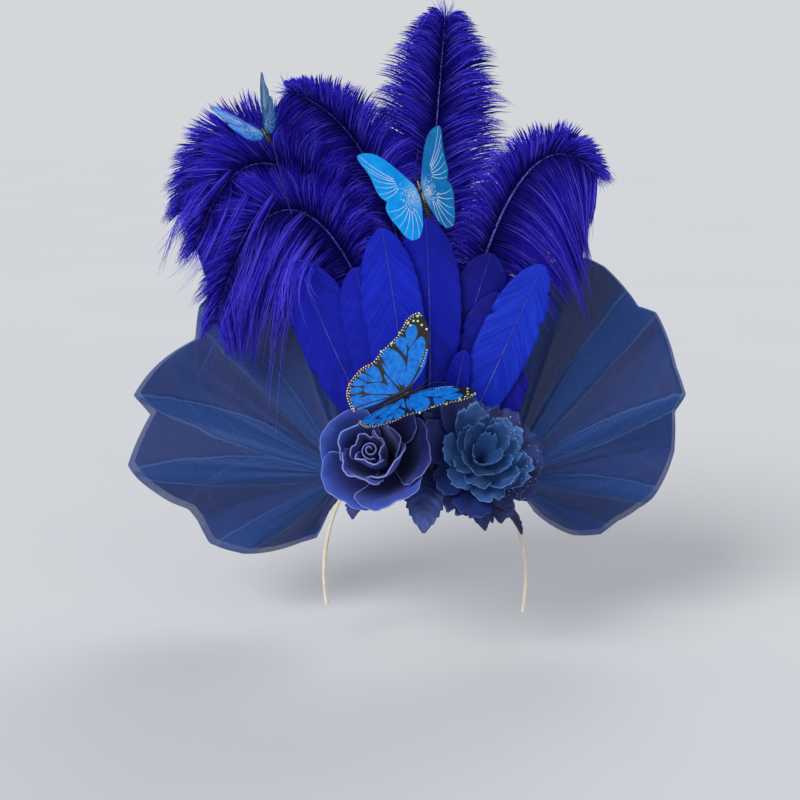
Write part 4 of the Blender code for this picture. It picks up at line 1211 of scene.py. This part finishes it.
def bud_surface(across, along):
    """A strip of foam rolled up, its top flaring a little."""
    angle = 2 * math.pi * BUD_TURNS * across + 0.6
    radius = (0.0012 + 0.0052 * across) * (0.80 + 0.28 * along**2)
    height = SEAT_GAP + 0.0005 + (0.90 - 0.10 * across + 0.02 * math.sin(9 * across)) * ROSE_HEIGHT * along
    return rose_frame @ Vector((radius * math.cos(angle), radius * math.sin(angle), height))


bud = sheet_mesh("foam_bud", 90, 14, bud_surface, shaded_foam)
wall(bud, ROSE_SHEET * 0.8)
fitted(bud, "violet_foam", "rose_bud")
tape = dyed_finish("stem_tape", 0.7, (0.030, 0.035, 0.150), (0.012, 0.014, 0.070), 200.0, 1500.0, 0.5, 0.0004)
for name in ("rose_calyx", "peony_calyx"):
    frame["nodes"][name].material_slots[0].material = tape


# The silk peony: six rounds of petals cut from dyed silk, their ends frayed and ruffled by heat, threaded on
# one stem and cupped more and more to the middle. A little glitter is caught on its lower right petals.

PEONY_RADIUS = 0.049
PEONY_HEIGHT = 0.030
PEONY_SHEET = 0.001
PEONY_CALYX = 0.015
PEONY_STACK = 0.0015
PEONY_SEAT = (27.0, 24.0)
PEONY_AIM = (15.0, 34.0)
PEONY_FOOT = 0.004
PEONY_HOLE = 0.003
PEONY_CROWDED = 0.20
PEONY_CUP = 1.8
GLITTER_TRIES = 800
GLITTER_FROM = 0.066

# petals, spin, radius, height, how far in the petals part, ruffle and dye
PEONY_ROUNDS = (
    (7, 0, 1.03, 0.06, 0.40, 0.050, "indigo"),
    (7, 26, 0.92, 0.30, 0.35, 0.060, "indigo"),
    (6, 10, 0.78, 0.62, 0.32, 0.070, "steel"),
    (6, 40, 0.60, 0.85, 0.30, 0.070, "steel"),
    (5, 5, 0.42, 0.98, 0.26, 0.060, "steel"),
    (4, 20, 0.25, 0.95, 0.22, 0.030, "steel"),
)
PEONY_DYES = {
    "indigo": ((0.014, 0.034, 0.190), (0.005, 0.009, 0.070), (0.020, 0.034, 0.170)),
    "steel": ((0.048, 0.150, 0.420), (0.010, 0.032, 0.170), (0.090, 0.215, 0.490)),
}


def silk_petal(petals, spin, radius, height, notch, ruffle, number, round_number, place_in, chance):
    """One petal of a round: split and crinkled at its end, and curled and twisted in its own way."""
    hub = SEAT_GAP + PEONY_SHEET / 2 + round_number * PEONY_STACK
    middle = math.pi * (2 * number + 1) / petals + math.radians(spin) + chance.uniform(-0.10, 0.10)
    phase, split, curl = chance.uniform(0, 6.3), chance.uniform(-0.3, 0.3), chance.uniform(-1.0, 1.6)
    size, ruffled, twist = chance.uniform(0.86, 1.04), chance.uniform(0.7, 2.2), chance.uniform(-1.0, 1.0)
    if math.radians(85) < middle % (2 * math.pi) < math.radians(175) and round_number < 3:
        size, curl = size * (1.24 if round_number < 2 else 1.10), curl + 1.6

    def surface(across, along):
        side = 2 * across - 1
        wide = math.pi / petals * (1.0 + 0.22 * math.sin(math.pi * along**0.8))
        angle = middle + wide * side
        rim_share = size * (1 - 0.75 * notch * abs(side) ** 2.6)
        rim_share -= 0.10 * max(0.0, 1 - abs(side - split) / 0.10) + 0.018 * math.sin(17 * side + phase)
        reach = PEONY_RADIUS * radius * rim_share
        reach *= 1 - PEONY_CROWDED * max(0.0, -math.cos(angle)) ** 2
        out = PEONY_HOLE + (reach - PEONY_HOLE) * along
        share = out / (PEONY_RADIUS * radius)
        rise = hub + PEONY_HEIGHT * height * share**PEONY_CUP
        rise += PEONY_RADIUS * ruffle * share**2 * math.sin(3 * angle + round_number)
        rise += 0.0016 * side * share + 0.0013 * ruffled * math.sin(6 * side + phase) * along**3
        rise += 0.0030 * curl * along**4 * (1 - 0.6 * side**2) + 0.0032 * twist * side * along**2
        rise += 0.00035 * math.sin(34 * side) * along * (1 - 0.5 * along)
        return place_in @ Vector((out * math.cos(angle), out * math.sin(angle), rise))

    return surface


def petal_round(name, surfaces, columns, rows, finish):
    """One piece made of several like sheets."""
    form = bmesh.new()
    form.loops.layers.uv.new("UVMap")
    for surface in surfaces:
        made = bmesh.ops.create_grid(form, x_segments=columns, y_segments=rows, size=0.5, calc_uvs=True)
        for point in made["verts"]:
            point.co = surface(point.co.x + 0.5, point.co.y + 0.5)
    return formed(name, form, finish, smooth=True)


peony_silks = {
    dye: silk_finish(f"{dye}_petal_silk", light, dark, 22.0, -0.10, edge, 0.6, 38.0)
    for dye, (light, dark, edge) in PEONY_DYES.items()
}
peony_frame = flower_frame(PEONY_SEAT, facing_way(*PEONY_AIM), PEONY_FOOT, PEONY_CALYX)
chance = random.Random(3)
lower_petals = []
for round_number, (petals, spin, radius, height, notch, ruffle, dye) in enumerate(PEONY_ROUNDS):
    surfaces = [
        silk_petal(petals, spin, radius, height, notch, ruffle, number, round_number, peony_frame, chance)
        for number in range(petals)
    ]
    layer = petal_round(f"silk_petals_{round_number + 1}", surfaces, 26, 14, peony_silks[dye])
    wall(layer, PEONY_SHEET * 0.4)
    fitted(layer, "navy_silk", f"peony_tier_{round_number + 1}")
    if round_number < 3:
        lower_petals += surfaces

glitter, tree, shader = finish_of("blue_glitter", 0.2)
spark = node(tree, "TexWhiteNoise", {"Vector": node(tree, "TexCoord").outputs["Object"]})
paint(tree, shader, blend(tree, spark.outputs["Value"], (0.20, 0.35, 0.95), (0.85, 0.92, 1.0)))
specks = bmesh.new()
for _ in range(GLITTER_TRIES):
    surface = chance.choice(lower_petals)
    across, along = chance.uniform(0.1, 0.9), chance.uniform(0.55, 0.98)
    place = surface(across, along)
    normal = (surface(across + 0.01, along) - place).cross(surface(across, along - 0.01) - place).normalized()
    if normal.dot(look) < 0:
        normal = -normal
    if place.x < GLITTER_FROM:
        continue
    turn = Matrix.Translation(place + normal * 0.0002) @ normal.to_track_quat("Z", "Y").to_matrix().to_4x4()
    wide = chance.uniform(0.00030, 0.00065)
    bmesh.ops.create_cone(
        specks, cap_ends=True, segments=5, radius1=wide, radius2=wide * 0.5, depth=0.00025, matrix=turn
    )
fitted(formed("glitter_specks", specks, glitter), "navy_silk")


# The butterflies: printed plastic wings on turned black bodies, each held clear of the feathers by one wire.
# The large one has cells of azure between black veins, and the two others are sky blue with white veins.

WING_SHEET = 0.0006
PRINT_RELIEF = 0.00007
BODY_RADIUS = 0.0022
WING_ROOT = BODY_RADIUS * 0.93 + SEAT_GAP
STEM_RADIUS = 0.0006
STEM_HEIGHT = 0.035
MIDDLE_WING = 0.0425
EYE_RADIUS = 0.00075
STRIPE_RADIUS = 0.00034
FEELER_RADIUS = 0.00022
CLUB_SWELL = 0.00030
HANDS = ((-1, "left"), (1, "right"))
ROUND_WING = (
    (0.08, 0.17), (0.19, 0.33), (0.32, 0.48), (0.46, 0.58), (0.57, 0.65), (0.70, 0.70), (0.83, 0.72),
    (0.93, 0.72), (0.99, 0.71), (1.01, 0.65), (1.00, 0.55), (0.96, 0.46), (0.87, 0.36), (0.81, 0.27),
    (0.78, 0.19), (0.75, 0.11), (0.72, 0.01), (0.67, -0.10), (0.61, -0.20), (0.62, -0.36), (0.57, -0.48),
    (0.51, -0.60), (0.42, -0.70), (0.33, -0.75), (0.21, -0.77), (0.08, -0.77), (0.05, -0.50), (0.0, -0.14),
    (0.0, 0.10),
)
SCALLOPED_WING = (
    (0.0, 0.10), (0.17, 0.33), (0.33, 0.53), (0.47, 0.68), (0.62, 0.80), (0.79, 0.86), (0.96, 0.87),
    (1.00, 0.82), (0.97, 0.71), (0.90, 0.58), (0.86, 0.44), (0.85, 0.30), (0.83, 0.17), (0.77, 0.07),
    (0.69, 0.02), (0.77, -0.05), (0.78, -0.14), (0.74, -0.28), (0.66, -0.43), (0.60, -0.58), (0.48, -0.70),
    (0.30, -0.70), (0.15, -0.54), (0.09, -0.39), (0.0, -0.12),
)

# Cells between the veins of the large wing, as shares of the wing's length out and ahead
AZURE_CELLS = (
    ((0.06, 0.01), (0.22, 0.12), (0.40, 0.24), (0.53, 0.31), (0.59, 0.43), (0.63, 0.54), (0.57, 0.57),
     (0.45, 0.52), (0.30, 0.38), (0.19, 0.25), (0.09, 0.12)),
    ((0.06, 0.12), (0.09, 0.21), (0.15, 0.31), (0.25, 0.43), (0.44, 0.57), (0.39, 0.51), (0.29, 0.42),
     (0.17, 0.29)),
    ((0.10, -0.01), (0.30, -0.04), (0.55, -0.06), (0.65, -0.04), (0.69, 0.04), (0.66, 0.11), (0.54, 0.17),
     (0.41, 0.18), (0.30, 0.15), (0.16, 0.06)),
    ((0.46, 0.24), (0.58, 0.22), (0.71, 0.19), (0.76, 0.24), (0.76, 0.32), (0.70, 0.35), (0.63, 0.33),
     (0.53, 0.28)),
    ((0.57, 0.33), (0.70, 0.36), (0.81, 0.40), (0.85, 0.47), (0.85, 0.54), (0.79, 0.56), (0.69, 0.52),
     (0.63, 0.45), (0.59, 0.37)),
    ((0.53, -0.10), (0.43, -0.06), (0.23, -0.04), (0.08, -0.04), (0.17, -0.07), (0.33, -0.11), (0.48, -0.11)),
    ((0.54, -0.36), (0.56, -0.27), (0.52, -0.19), (0.43, -0.18), (0.28, -0.21), (0.33, -0.27), (0.43, -0.31)),
    ((0.52, -0.47), (0.53, -0.40), (0.44, -0.34), (0.33, -0.27), (0.30, -0.26), (0.38, -0.39), (0.43, -0.44)),
    ((0.45, -0.57), (0.49, -0.50), (0.42, -0.45), (0.36, -0.41), (0.34, -0.44), (0.41, -0.59)),
    ((0.41, -0.64), (0.34, -0.50), (0.28, -0.52), (0.31, -0.68)),
    ((0.32, -0.48), (0.34, -0.38), (0.26, -0.21), (0.12, -0.15), (0.02, -0.10), (0.11, -0.27), (0.22, -0.48)),
    ((0.24, -0.72), (0.29, -0.67), (0.24, -0.51), (0.20, -0.64), (0.21, -0.71)),
    ((0.17, -0.73), (0.20, -0.63), (0.20, -0.48), (0.03, -0.19), (0.07, -0.39), (0.12, -0.68), (0.12, -0.72)),
    ((0.09, -0.69), (0.06, -0.44), (0.02, -0.26), (0.02, -0.41), (0.06, -0.68)),
    ((0.38, -0.14), (0.30, -0.12), (0.13, -0.09), (0.01, -0.08), (0.13, -0.15), (0.26, -0.17)),
)
YELLOW_DOTS = (
    (0.94, 0.65), (0.91, 0.49), (0.79, 0.64), (0.70, 0.67), (0.74, 0.15), (0.70, -0.03), (0.87, 0.62),
    (0.86, 0.50), (0.90, 0.57), (0.83, 0.32),
)
PINK_DOTS = ((0.59, -0.27), (0.57, -0.42), (0.35, -0.70), (0.08, -0.74), (0.47, -0.62))
PALE_VEINS = (
    (0.96, 0.84), (0.96, 0.71), (0.89, 0.58), (0.85, 0.44), (0.84, 0.30), (0.82, 0.17), (0.75, 0.07),
    (0.76, -0.14), (0.73, -0.28), (0.65, -0.43), (0.59, -0.57), (0.48, -0.69), (0.31, -0.69), (0.17, -0.54),
)

# name, place, heading, back, outline, wing length, how far the wings are raised, body length and antennae
BUTTERFLIES = (
    ("large", (-0.0055, -0.082, 0.054), (0.87, 0.28, 0.41), (-0.08, -0.74, 0.67), ROUND_WING, 0.052,
     (8.0, 36.0), 0.034, 0.015),
    ("middle", (0.001, -0.050, 0.192), (-0.34, 0.07, 0.94), (0.27, -0.95, 0.17), SCALLOPED_WING, MIDDLE_WING,
     (30.0, 66.0), 0.033, 0.016),
    ("small", (-0.115, -0.022, 0.232), (-0.39, 0.86, 0.32), (-0.42, -0.47, 0.77), SCALLOPED_WING, 0.035,
     (52.0, 52.0), 0.026, 0.010),
)


def softened(outline, rounds):
    """Cuts the corners of a closed outline again and again."""
    for _ in range(rounds):
        outline = [
            (a[0] * s + b[0] * (1 - s), a[1] * s + b[1] * (1 - s))
            for a, b in zip(outline, outline[1:] + outline[:1])
            for s in (0.75, 0.25)
        ]
    return outline


def plate(form, outline, thickness, finish_number):
    """A closed plate of that outline, as thick on both sides of the level, in a mesh being formed."""
    face = form.faces.new([form.verts.new((x, y, -thickness / 2)) for x, y in outline])
    face.material_index = finish_number
    raised = bmesh.ops.extrude_face_region(form, geom=[face])["geom"]
    upper = [part for part in raised if isinstance(part, bmesh.types.BMVert)]
    bmesh.ops.translate(form, verts=upper, vec=(0, 0, thickness))


def on_wing(points, hand, wing):
    """Shares of a wing's length, out and ahead, as places on that hand's wing."""
    return [(hand * (WING_ROOT + x * wing), y * wing) for x, y in points]


def dot(form, place, radius, thickness, finish_number):
    """A small round plate, in a mesh being formed."""
    made = bmesh.ops.create_cone(
        form, cap_ends=True, segments=8, radius1=radius, radius2=radius, depth=thickness,
        matrix=Matrix.Translation((*place, 0.0)),
    )
    for face in {face for point in made["verts"] for face in point.link_faces}:
        face.material_index = finish_number


def print_finish(name, centre, light, dark, inner, streak, near=0.010, far=0.024):
    """Glossy printed colour: paler by the body, streaked out along the wing."""
    material, tree, shader = finish_of(name, 0.45, Coat_Weight=0.04, Coat_Roughness=0.2,
                                       Specular_IOR_Level=0.10)
    spot = node(tree, "TexCoord").outputs["Object"]
    away = node(tree, "VectorMath", {0: spot, 1: centre}, operation="DISTANCE").outputs["Value"]
    grain = node(tree, "TexNoise", {"Vector": spot, "Scale": streak, "Detail": 4.0, "Roughness": 0.65})
    tone = blend(tree, ease(tree, grain.outputs["Fac"], 0.35, 0.66), dark, light)
    rough = reckon(tree, "ADD", away, reckon(tree, "MULTIPLY", grain.outputs["Fac"], near))
    paint(tree, shader, blend(tree, ease(tree, rough, near, far, 0.55, 0.0), tone, inner))
    bump(tree, shader, grain.outputs["Fac"], 0.15, 0.0001)
    return material


def ink_finish(name, colour):
    """A dab of opaque ink or gilt."""
    return dyed_finish(name, 0.35, colour, [0.8 * tone for tone in colour], 700.0, 2500.0)


black = dyed_finish(
    "black_lacquer", 0.35, (0.012, 0.012, 0.018), (0.004, 0.004, 0.007), 300.0, 1600.0, 0.3, 0.0002,
    Specular_IOR_Level=0.25,
)
white_ink = ink_finish("white_ink", (0.80, 0.86, 0.92))
yellow_ink = ink_finish("yellow_ink", (0.60, 0.72, 0.22))
pink_ink = ink_finish("pink_ink", (0.72, 0.14, 0.18))
gold_ink = ink_finish("gold_stripe", (0.55, 0.42, 0.20))
steel = dyed_finish(
    "dark_wire", 0.4, (0.020, 0.014, 0.260), (0.010, 0.007, 0.150), 400.0, 2000.0, Metallic=0.3
)

# How far in, how far apart and how wide the margin's white dots are in each row
MARGIN_ROWS = ((0.0010, 0.0022, 0.00048), (0.0026, 0.0028, 0.00034))
BIG_DOT = 0.00090


def butterfly_matrix(place, heading, back):
    """The matrix of a butterfly: it heads along its +Y, and +Z is out of its back."""
    ahead = Vector(heading).normalized()
    right = ahead.cross(Vector(back)).normalized()
    up = right.cross(ahead)
    return Matrix.Translation(Vector(place)) @ Matrix((right, ahead, up)).transposed().to_4x4()


def margin_dots(form, outline, wing, thickness, hand):
    """Two rows of white dots just inside the outer edge, from the wing's tip round to its hind corner."""
    edge = [Vector(point) * wing for point in outline]
    edge = [point for point in edge if point.x > 0.20 * wing or point.y < -0.6 * wing]
    edge = [point for point in edge if point.x > 0.88 * wing or point.y < 0.56 * wing]
    for inset, step, radius in MARGIN_ROWS:
        gone = 0.0
        for near, far in zip(edge, edge[1:]):
            span = (far - near).length
            if span > 0.006:
                continue
            inward = Vector((far.y - near.y, near.x - far.x)).normalized()
            if inward.dot(Vector((0.35 * wing, -0.05 * wing)) - near) < 0:
                inward = -inward
            while gone < span:
                place = near.lerp(far, gone / span) + inward * inset
                dot(form, on_wing([place], hand, 1.0)[0], radius, thickness, 2)
                gone += step
            gone -= span


def vein(form, root, tip, wing, hand, wide, thickness, finish_number):
    """A thin tapering line with a slight bow."""
    root, tip = Vector(root) * wing, Vector(tip) * wing
    across = Vector((tip.y - root.y, root.x - tip.x)).normalized()
    shares = (0, 0.25, 0.5, 0.75, 1)
    centre = [root.lerp(tip, t) + across * (0.03 * wing * math.sin(math.pi * t)) for t in shares]
    half = [wide * (1 - 0.65 * t) / 2 for t in shares]
    edge = [c + across * h for c, h in zip(centre, half)]
    edge += [c - across * h for c, h in zip(reversed(centre), reversed(half))]
    plate(form, on_wing(edge, hand, 1.0), thickness, finish_number)


# Width of a pale vein and number of specks on the middle butterfly's wing: the small one's are far finer
VEIN_WIDTH = 0.00045
SPECKS = 171


def plated(name, form, *finishes):
    """A new object of plates that have been formed, their faces turned outwards."""
    bmesh.ops.triangulate(form, faces=form.faces)
    bmesh.ops.recalc_face_normals(form, faces=form.faces)
    return formed(name, form, *finishes)


def printed_wing(name, hand, outline, wing, placed, ground, colour, chance):
    """A wing whose cells and dots, or veins and specks, stand a little proud of both faces."""
    form = bmesh.new()
    edge = softened(list(outline), 1)
    plate(form, on_wing(edge, hand, wing), WING_SHEET, 0)
    proud = WING_SHEET + 2 * PRINT_RELIEF
    if outline is ROUND_WING:
        for cell in AZURE_CELLS:
            centre = [sum(axis) / len(cell) for axis in zip(*cell)]
            cell = [tuple(c + (p - c) * 1.07 for p, c in zip(point, centre)) for point in cell]
            plate(form, on_wing(softened(cell, 2), hand, wing), proud, 1)
        margin_dots(form, edge, wing, proud, hand)
        for dots, ink in ((YELLOW_DOTS, 3), (PINK_DOTS, 4)):
            for place in on_wing(dots, hand, wing):
                dot(form, place, BIG_DOT, proud + PRINT_RELIEF, ink)
    else:
        finer = (wing / MIDDLE_WING) ** 4
        for tip in PALE_VEINS:
            root = (0.30, 0.22) if tip[1] > 0 else (0.24, -0.12)
            start = (root[0] * 0.72 + tip[0] * 0.22, root[1] * 0.72 + tip[1] * 0.22)
            vein(form, start, tip, wing, hand, VEIN_WIDTH * finer, proud, 2)
        for _ in range(int(SPECKS * finer)):
            angle = math.radians(chance.triangular(-75, 60, -8))
            reach = chance.triangular(0.04, 0.46, 0.20) * wing
            place = (hand * (WING_ROOT + reach * math.cos(angle)), reach * math.sin(angle) * 0.95)
            if abs(place[1]) < 0.9 * abs(place[0]) + 0.004:
                dot(form, place, chance.uniform(0.0035, 0.0095) * wing, proud, 2)
    form.transform(placed)
    return plated(name, form, ground, colour, white_ink, yellow_ink, pink_ink)


def body_surface(length, placed):
    """A ribbed abdomen, a thick thorax and a round head, from tail to head."""

    def surface(across, along):
        abdomen = 0.84 * math.sin(math.pi * min(1.0, along / 0.62) * 0.75 + 0.25)
        thorax = 0.98 * math.exp(-(((along - 0.66) / 0.15) ** 2))
        head = 0.60 * math.exp(-(((along - 0.93) / 0.055) ** 2))
        radius = 1.34 * BODY_RADIUS * max(abdomen if along < 0.62 else 0.0, thorax, head, 0.30)
        radius *= 1 + 0.10 * math.sin(along * 105) * (1.0 if along < 0.56 else 0.0)
        radius *= min(1.0, math.sqrt(max(0.0, along * 14)), math.sqrt(max(0.0, (1 - along) * 20))) + 0.02
        turn = 2 * math.pi * across
        return placed @ Vector((radius * math.cos(turn), (along - 0.62) * length, radius * math.sin(turn)))

    return surface


def along_points(points):
    """A place on a smooth run through those points, for a share from 0 to 1."""

    def place(share):
        spot = share * (len(points) - 1)
        number = min(len(points) - 2, int(spot))
        part = spot - number
        before = points[max(0, number - 1)]
        first, second = points[number], points[number + 1]
        after = points[min(len(points) - 1, number + 2)]
        return 0.5 * (
            2 * first
            + (second - before) * part
            + (2 * before - 5 * first + 4 * second - after) * part**2
            + (3 * first - before - 3 * second + after) * part**3
        )

    return place


def feeler_radius(share):
    """A thread that swells to a club at its end."""
    return FEELER_RADIUS + CLUB_SWELL * max(0.0, (share - 0.85) / 0.15)


# Light, dark and by the body: the wing that faces the light, then a darker copy as painted shade on the one
# turned away
SKY_PRINTS = {
    "middle": (
        ((0.004, 0.380, 0.900), (0.003, 0.290, 0.820), (0.300, 0.620, 0.920)),
        ((0.006, 0.185, 0.440), (0.004, 0.130, 0.350), (0.180, 0.380, 0.560)),
    ),
    "small": (
        ((0.004, 0.280, 0.780), (0.002, 0.060, 0.460), (0.100, 0.420, 0.820)),
        ((0.002, 0.100, 0.260), (0.001, 0.060, 0.190), (0.012, 0.110, 0.260)),
    ),
}
AZURE_PRINT = ((0.007, 0.185, 0.620), (0.003, 0.100, 0.470), (0.004, 0.125, 0.520))
SKY_PALE_REACH = 0.55
STEM_SEAT = (-3.0, 18.0)
STEM_PROUD = 0.0033
STEM_STARTS = {"middle": ("upper_left", 0.40), "small": ("left_low", 0.62)}
chance = random.Random(9)
for name, place, heading, back, outline, wing, raises, body, feelers in BUTTERFLIES:
    placed = butterfly_matrix(place, heading, back)
    centre = tuple(placed @ Vector((0.0, 0.0, 0.0)))
    if name == "large":
        slot = "wing_print_dark"
        azure = print_finish(f"azure_print_{name}", centre, *AZURE_PRINT, 260.0)
        colours = (azure, azure)
    else:
        slot = "wing_print_bright"
        far = SKY_PALE_REACH * wing
        # Two copies of one sky print: the second is darker, painted shade on the wing turned away from the
        # light.
        colours = [
            print_finish(f"{tint}_print_{name}", centre, *tones, 150.0, far * 0.4, far)
            for tint, tones in zip(("sky", "shaded_sky"), SKY_PRINTS[name])
        ]
    for (hand, side_name), raised, colour in zip(HANDS, raises, colours):
        tilted = placed @ Matrix.Rotation(math.radians(-hand * raised), 4, "Y")
        base = black if name == "large" else colour
        side = f"wing_{name}_{side_name}"
        sheet = printed_wing(side, hand, outline, wing, tilted, base, colour, chance)
        fitted(sheet, slot, f"butterfly_{name}_wing_{side_name}")
    trunk = sheet_mesh(f"body_{name}", 18, 110, body_surface(body, placed), black, loop=True, capped=True)
    fitted(trunk, "black_body", f"butterfly_{name}_body")
    for hand, side_name in HANDS:
        knots = [
            placed @ Vector((hand * x * feelers, 0.355 * body + y * feelers, z * feelers))
            for x, y, z in ((0.05, 0.0, 0.02), (0.14, 0.35, 0.14), (0.26, 0.70, 0.20), (0.46, 1.0, 0.16))
        ]
        feeler = shaft(f"antenna_{name}_{side_name}", along_points(knots), feeler_radius, 6, 20, black)
        fitted(feeler, "black_body")
        eye = bmesh.new()
        bmesh.ops.create_icosphere(eye, subdivisions=2, radius=EYE_RADIUS)
        eye.transform(placed @ Matrix.Translation((hand * 0.0009, 0.315 * body, 0.0005)))
        fitted(plated(f"eye_{name}_{side_name}", eye, black), "black_body")
    if name != "large":
        rises = ((-0.25, 0.88), (0.05, 1.10), (0.26, 0.75))
        knots = [placed @ Vector((0.0, y * body, BODY_RADIUS * z)) for y, z in rises]
        stripe = shaft(f"stripe_{name}", along_points(knots), tapering(STRIPE_RADIUS), 8, 16, gold_ink)
        fitted(stripe, "black_body")
    under = Vector((0.0, 0.0, -(BODY_RADIUS + SEAT_GAP)))
    if name in STEM_STARTS:
        plume_name, share = STEM_STARTS[name]
        layer, root_x, curve = next(row[1:4] for row in PLUMES if row[0] == plume_name)
        line, depth = plume_line(layer, root_x, curve)
        spot = quill_curve(line, share)[0]
        start = Vector((spot[0], float(layer_depth(depth, spot[1])) - STEM_PROUD, spot[1]))
        knots = [start, start + Vector((0.0, -0.005, 0.0))]
    else:
        foot = skull_point(*STEM_SEAT, PAD_SEAT + STEM_RADIUS * 0.3)
        knots = [foot, foot + Vector((0.0, -0.002, STEM_HEIGHT))]
    knots += [placed @ (under + Vector((0.0, 0.0, -0.008))), placed @ under]
    stem = shaft(f"wire_{name}", along_points(knots), tapering(STEM_RADIUS * 0.75), 8, 48, steel)
    fitted(stem, "dark_wire", f"butterfly_{name}_stem")
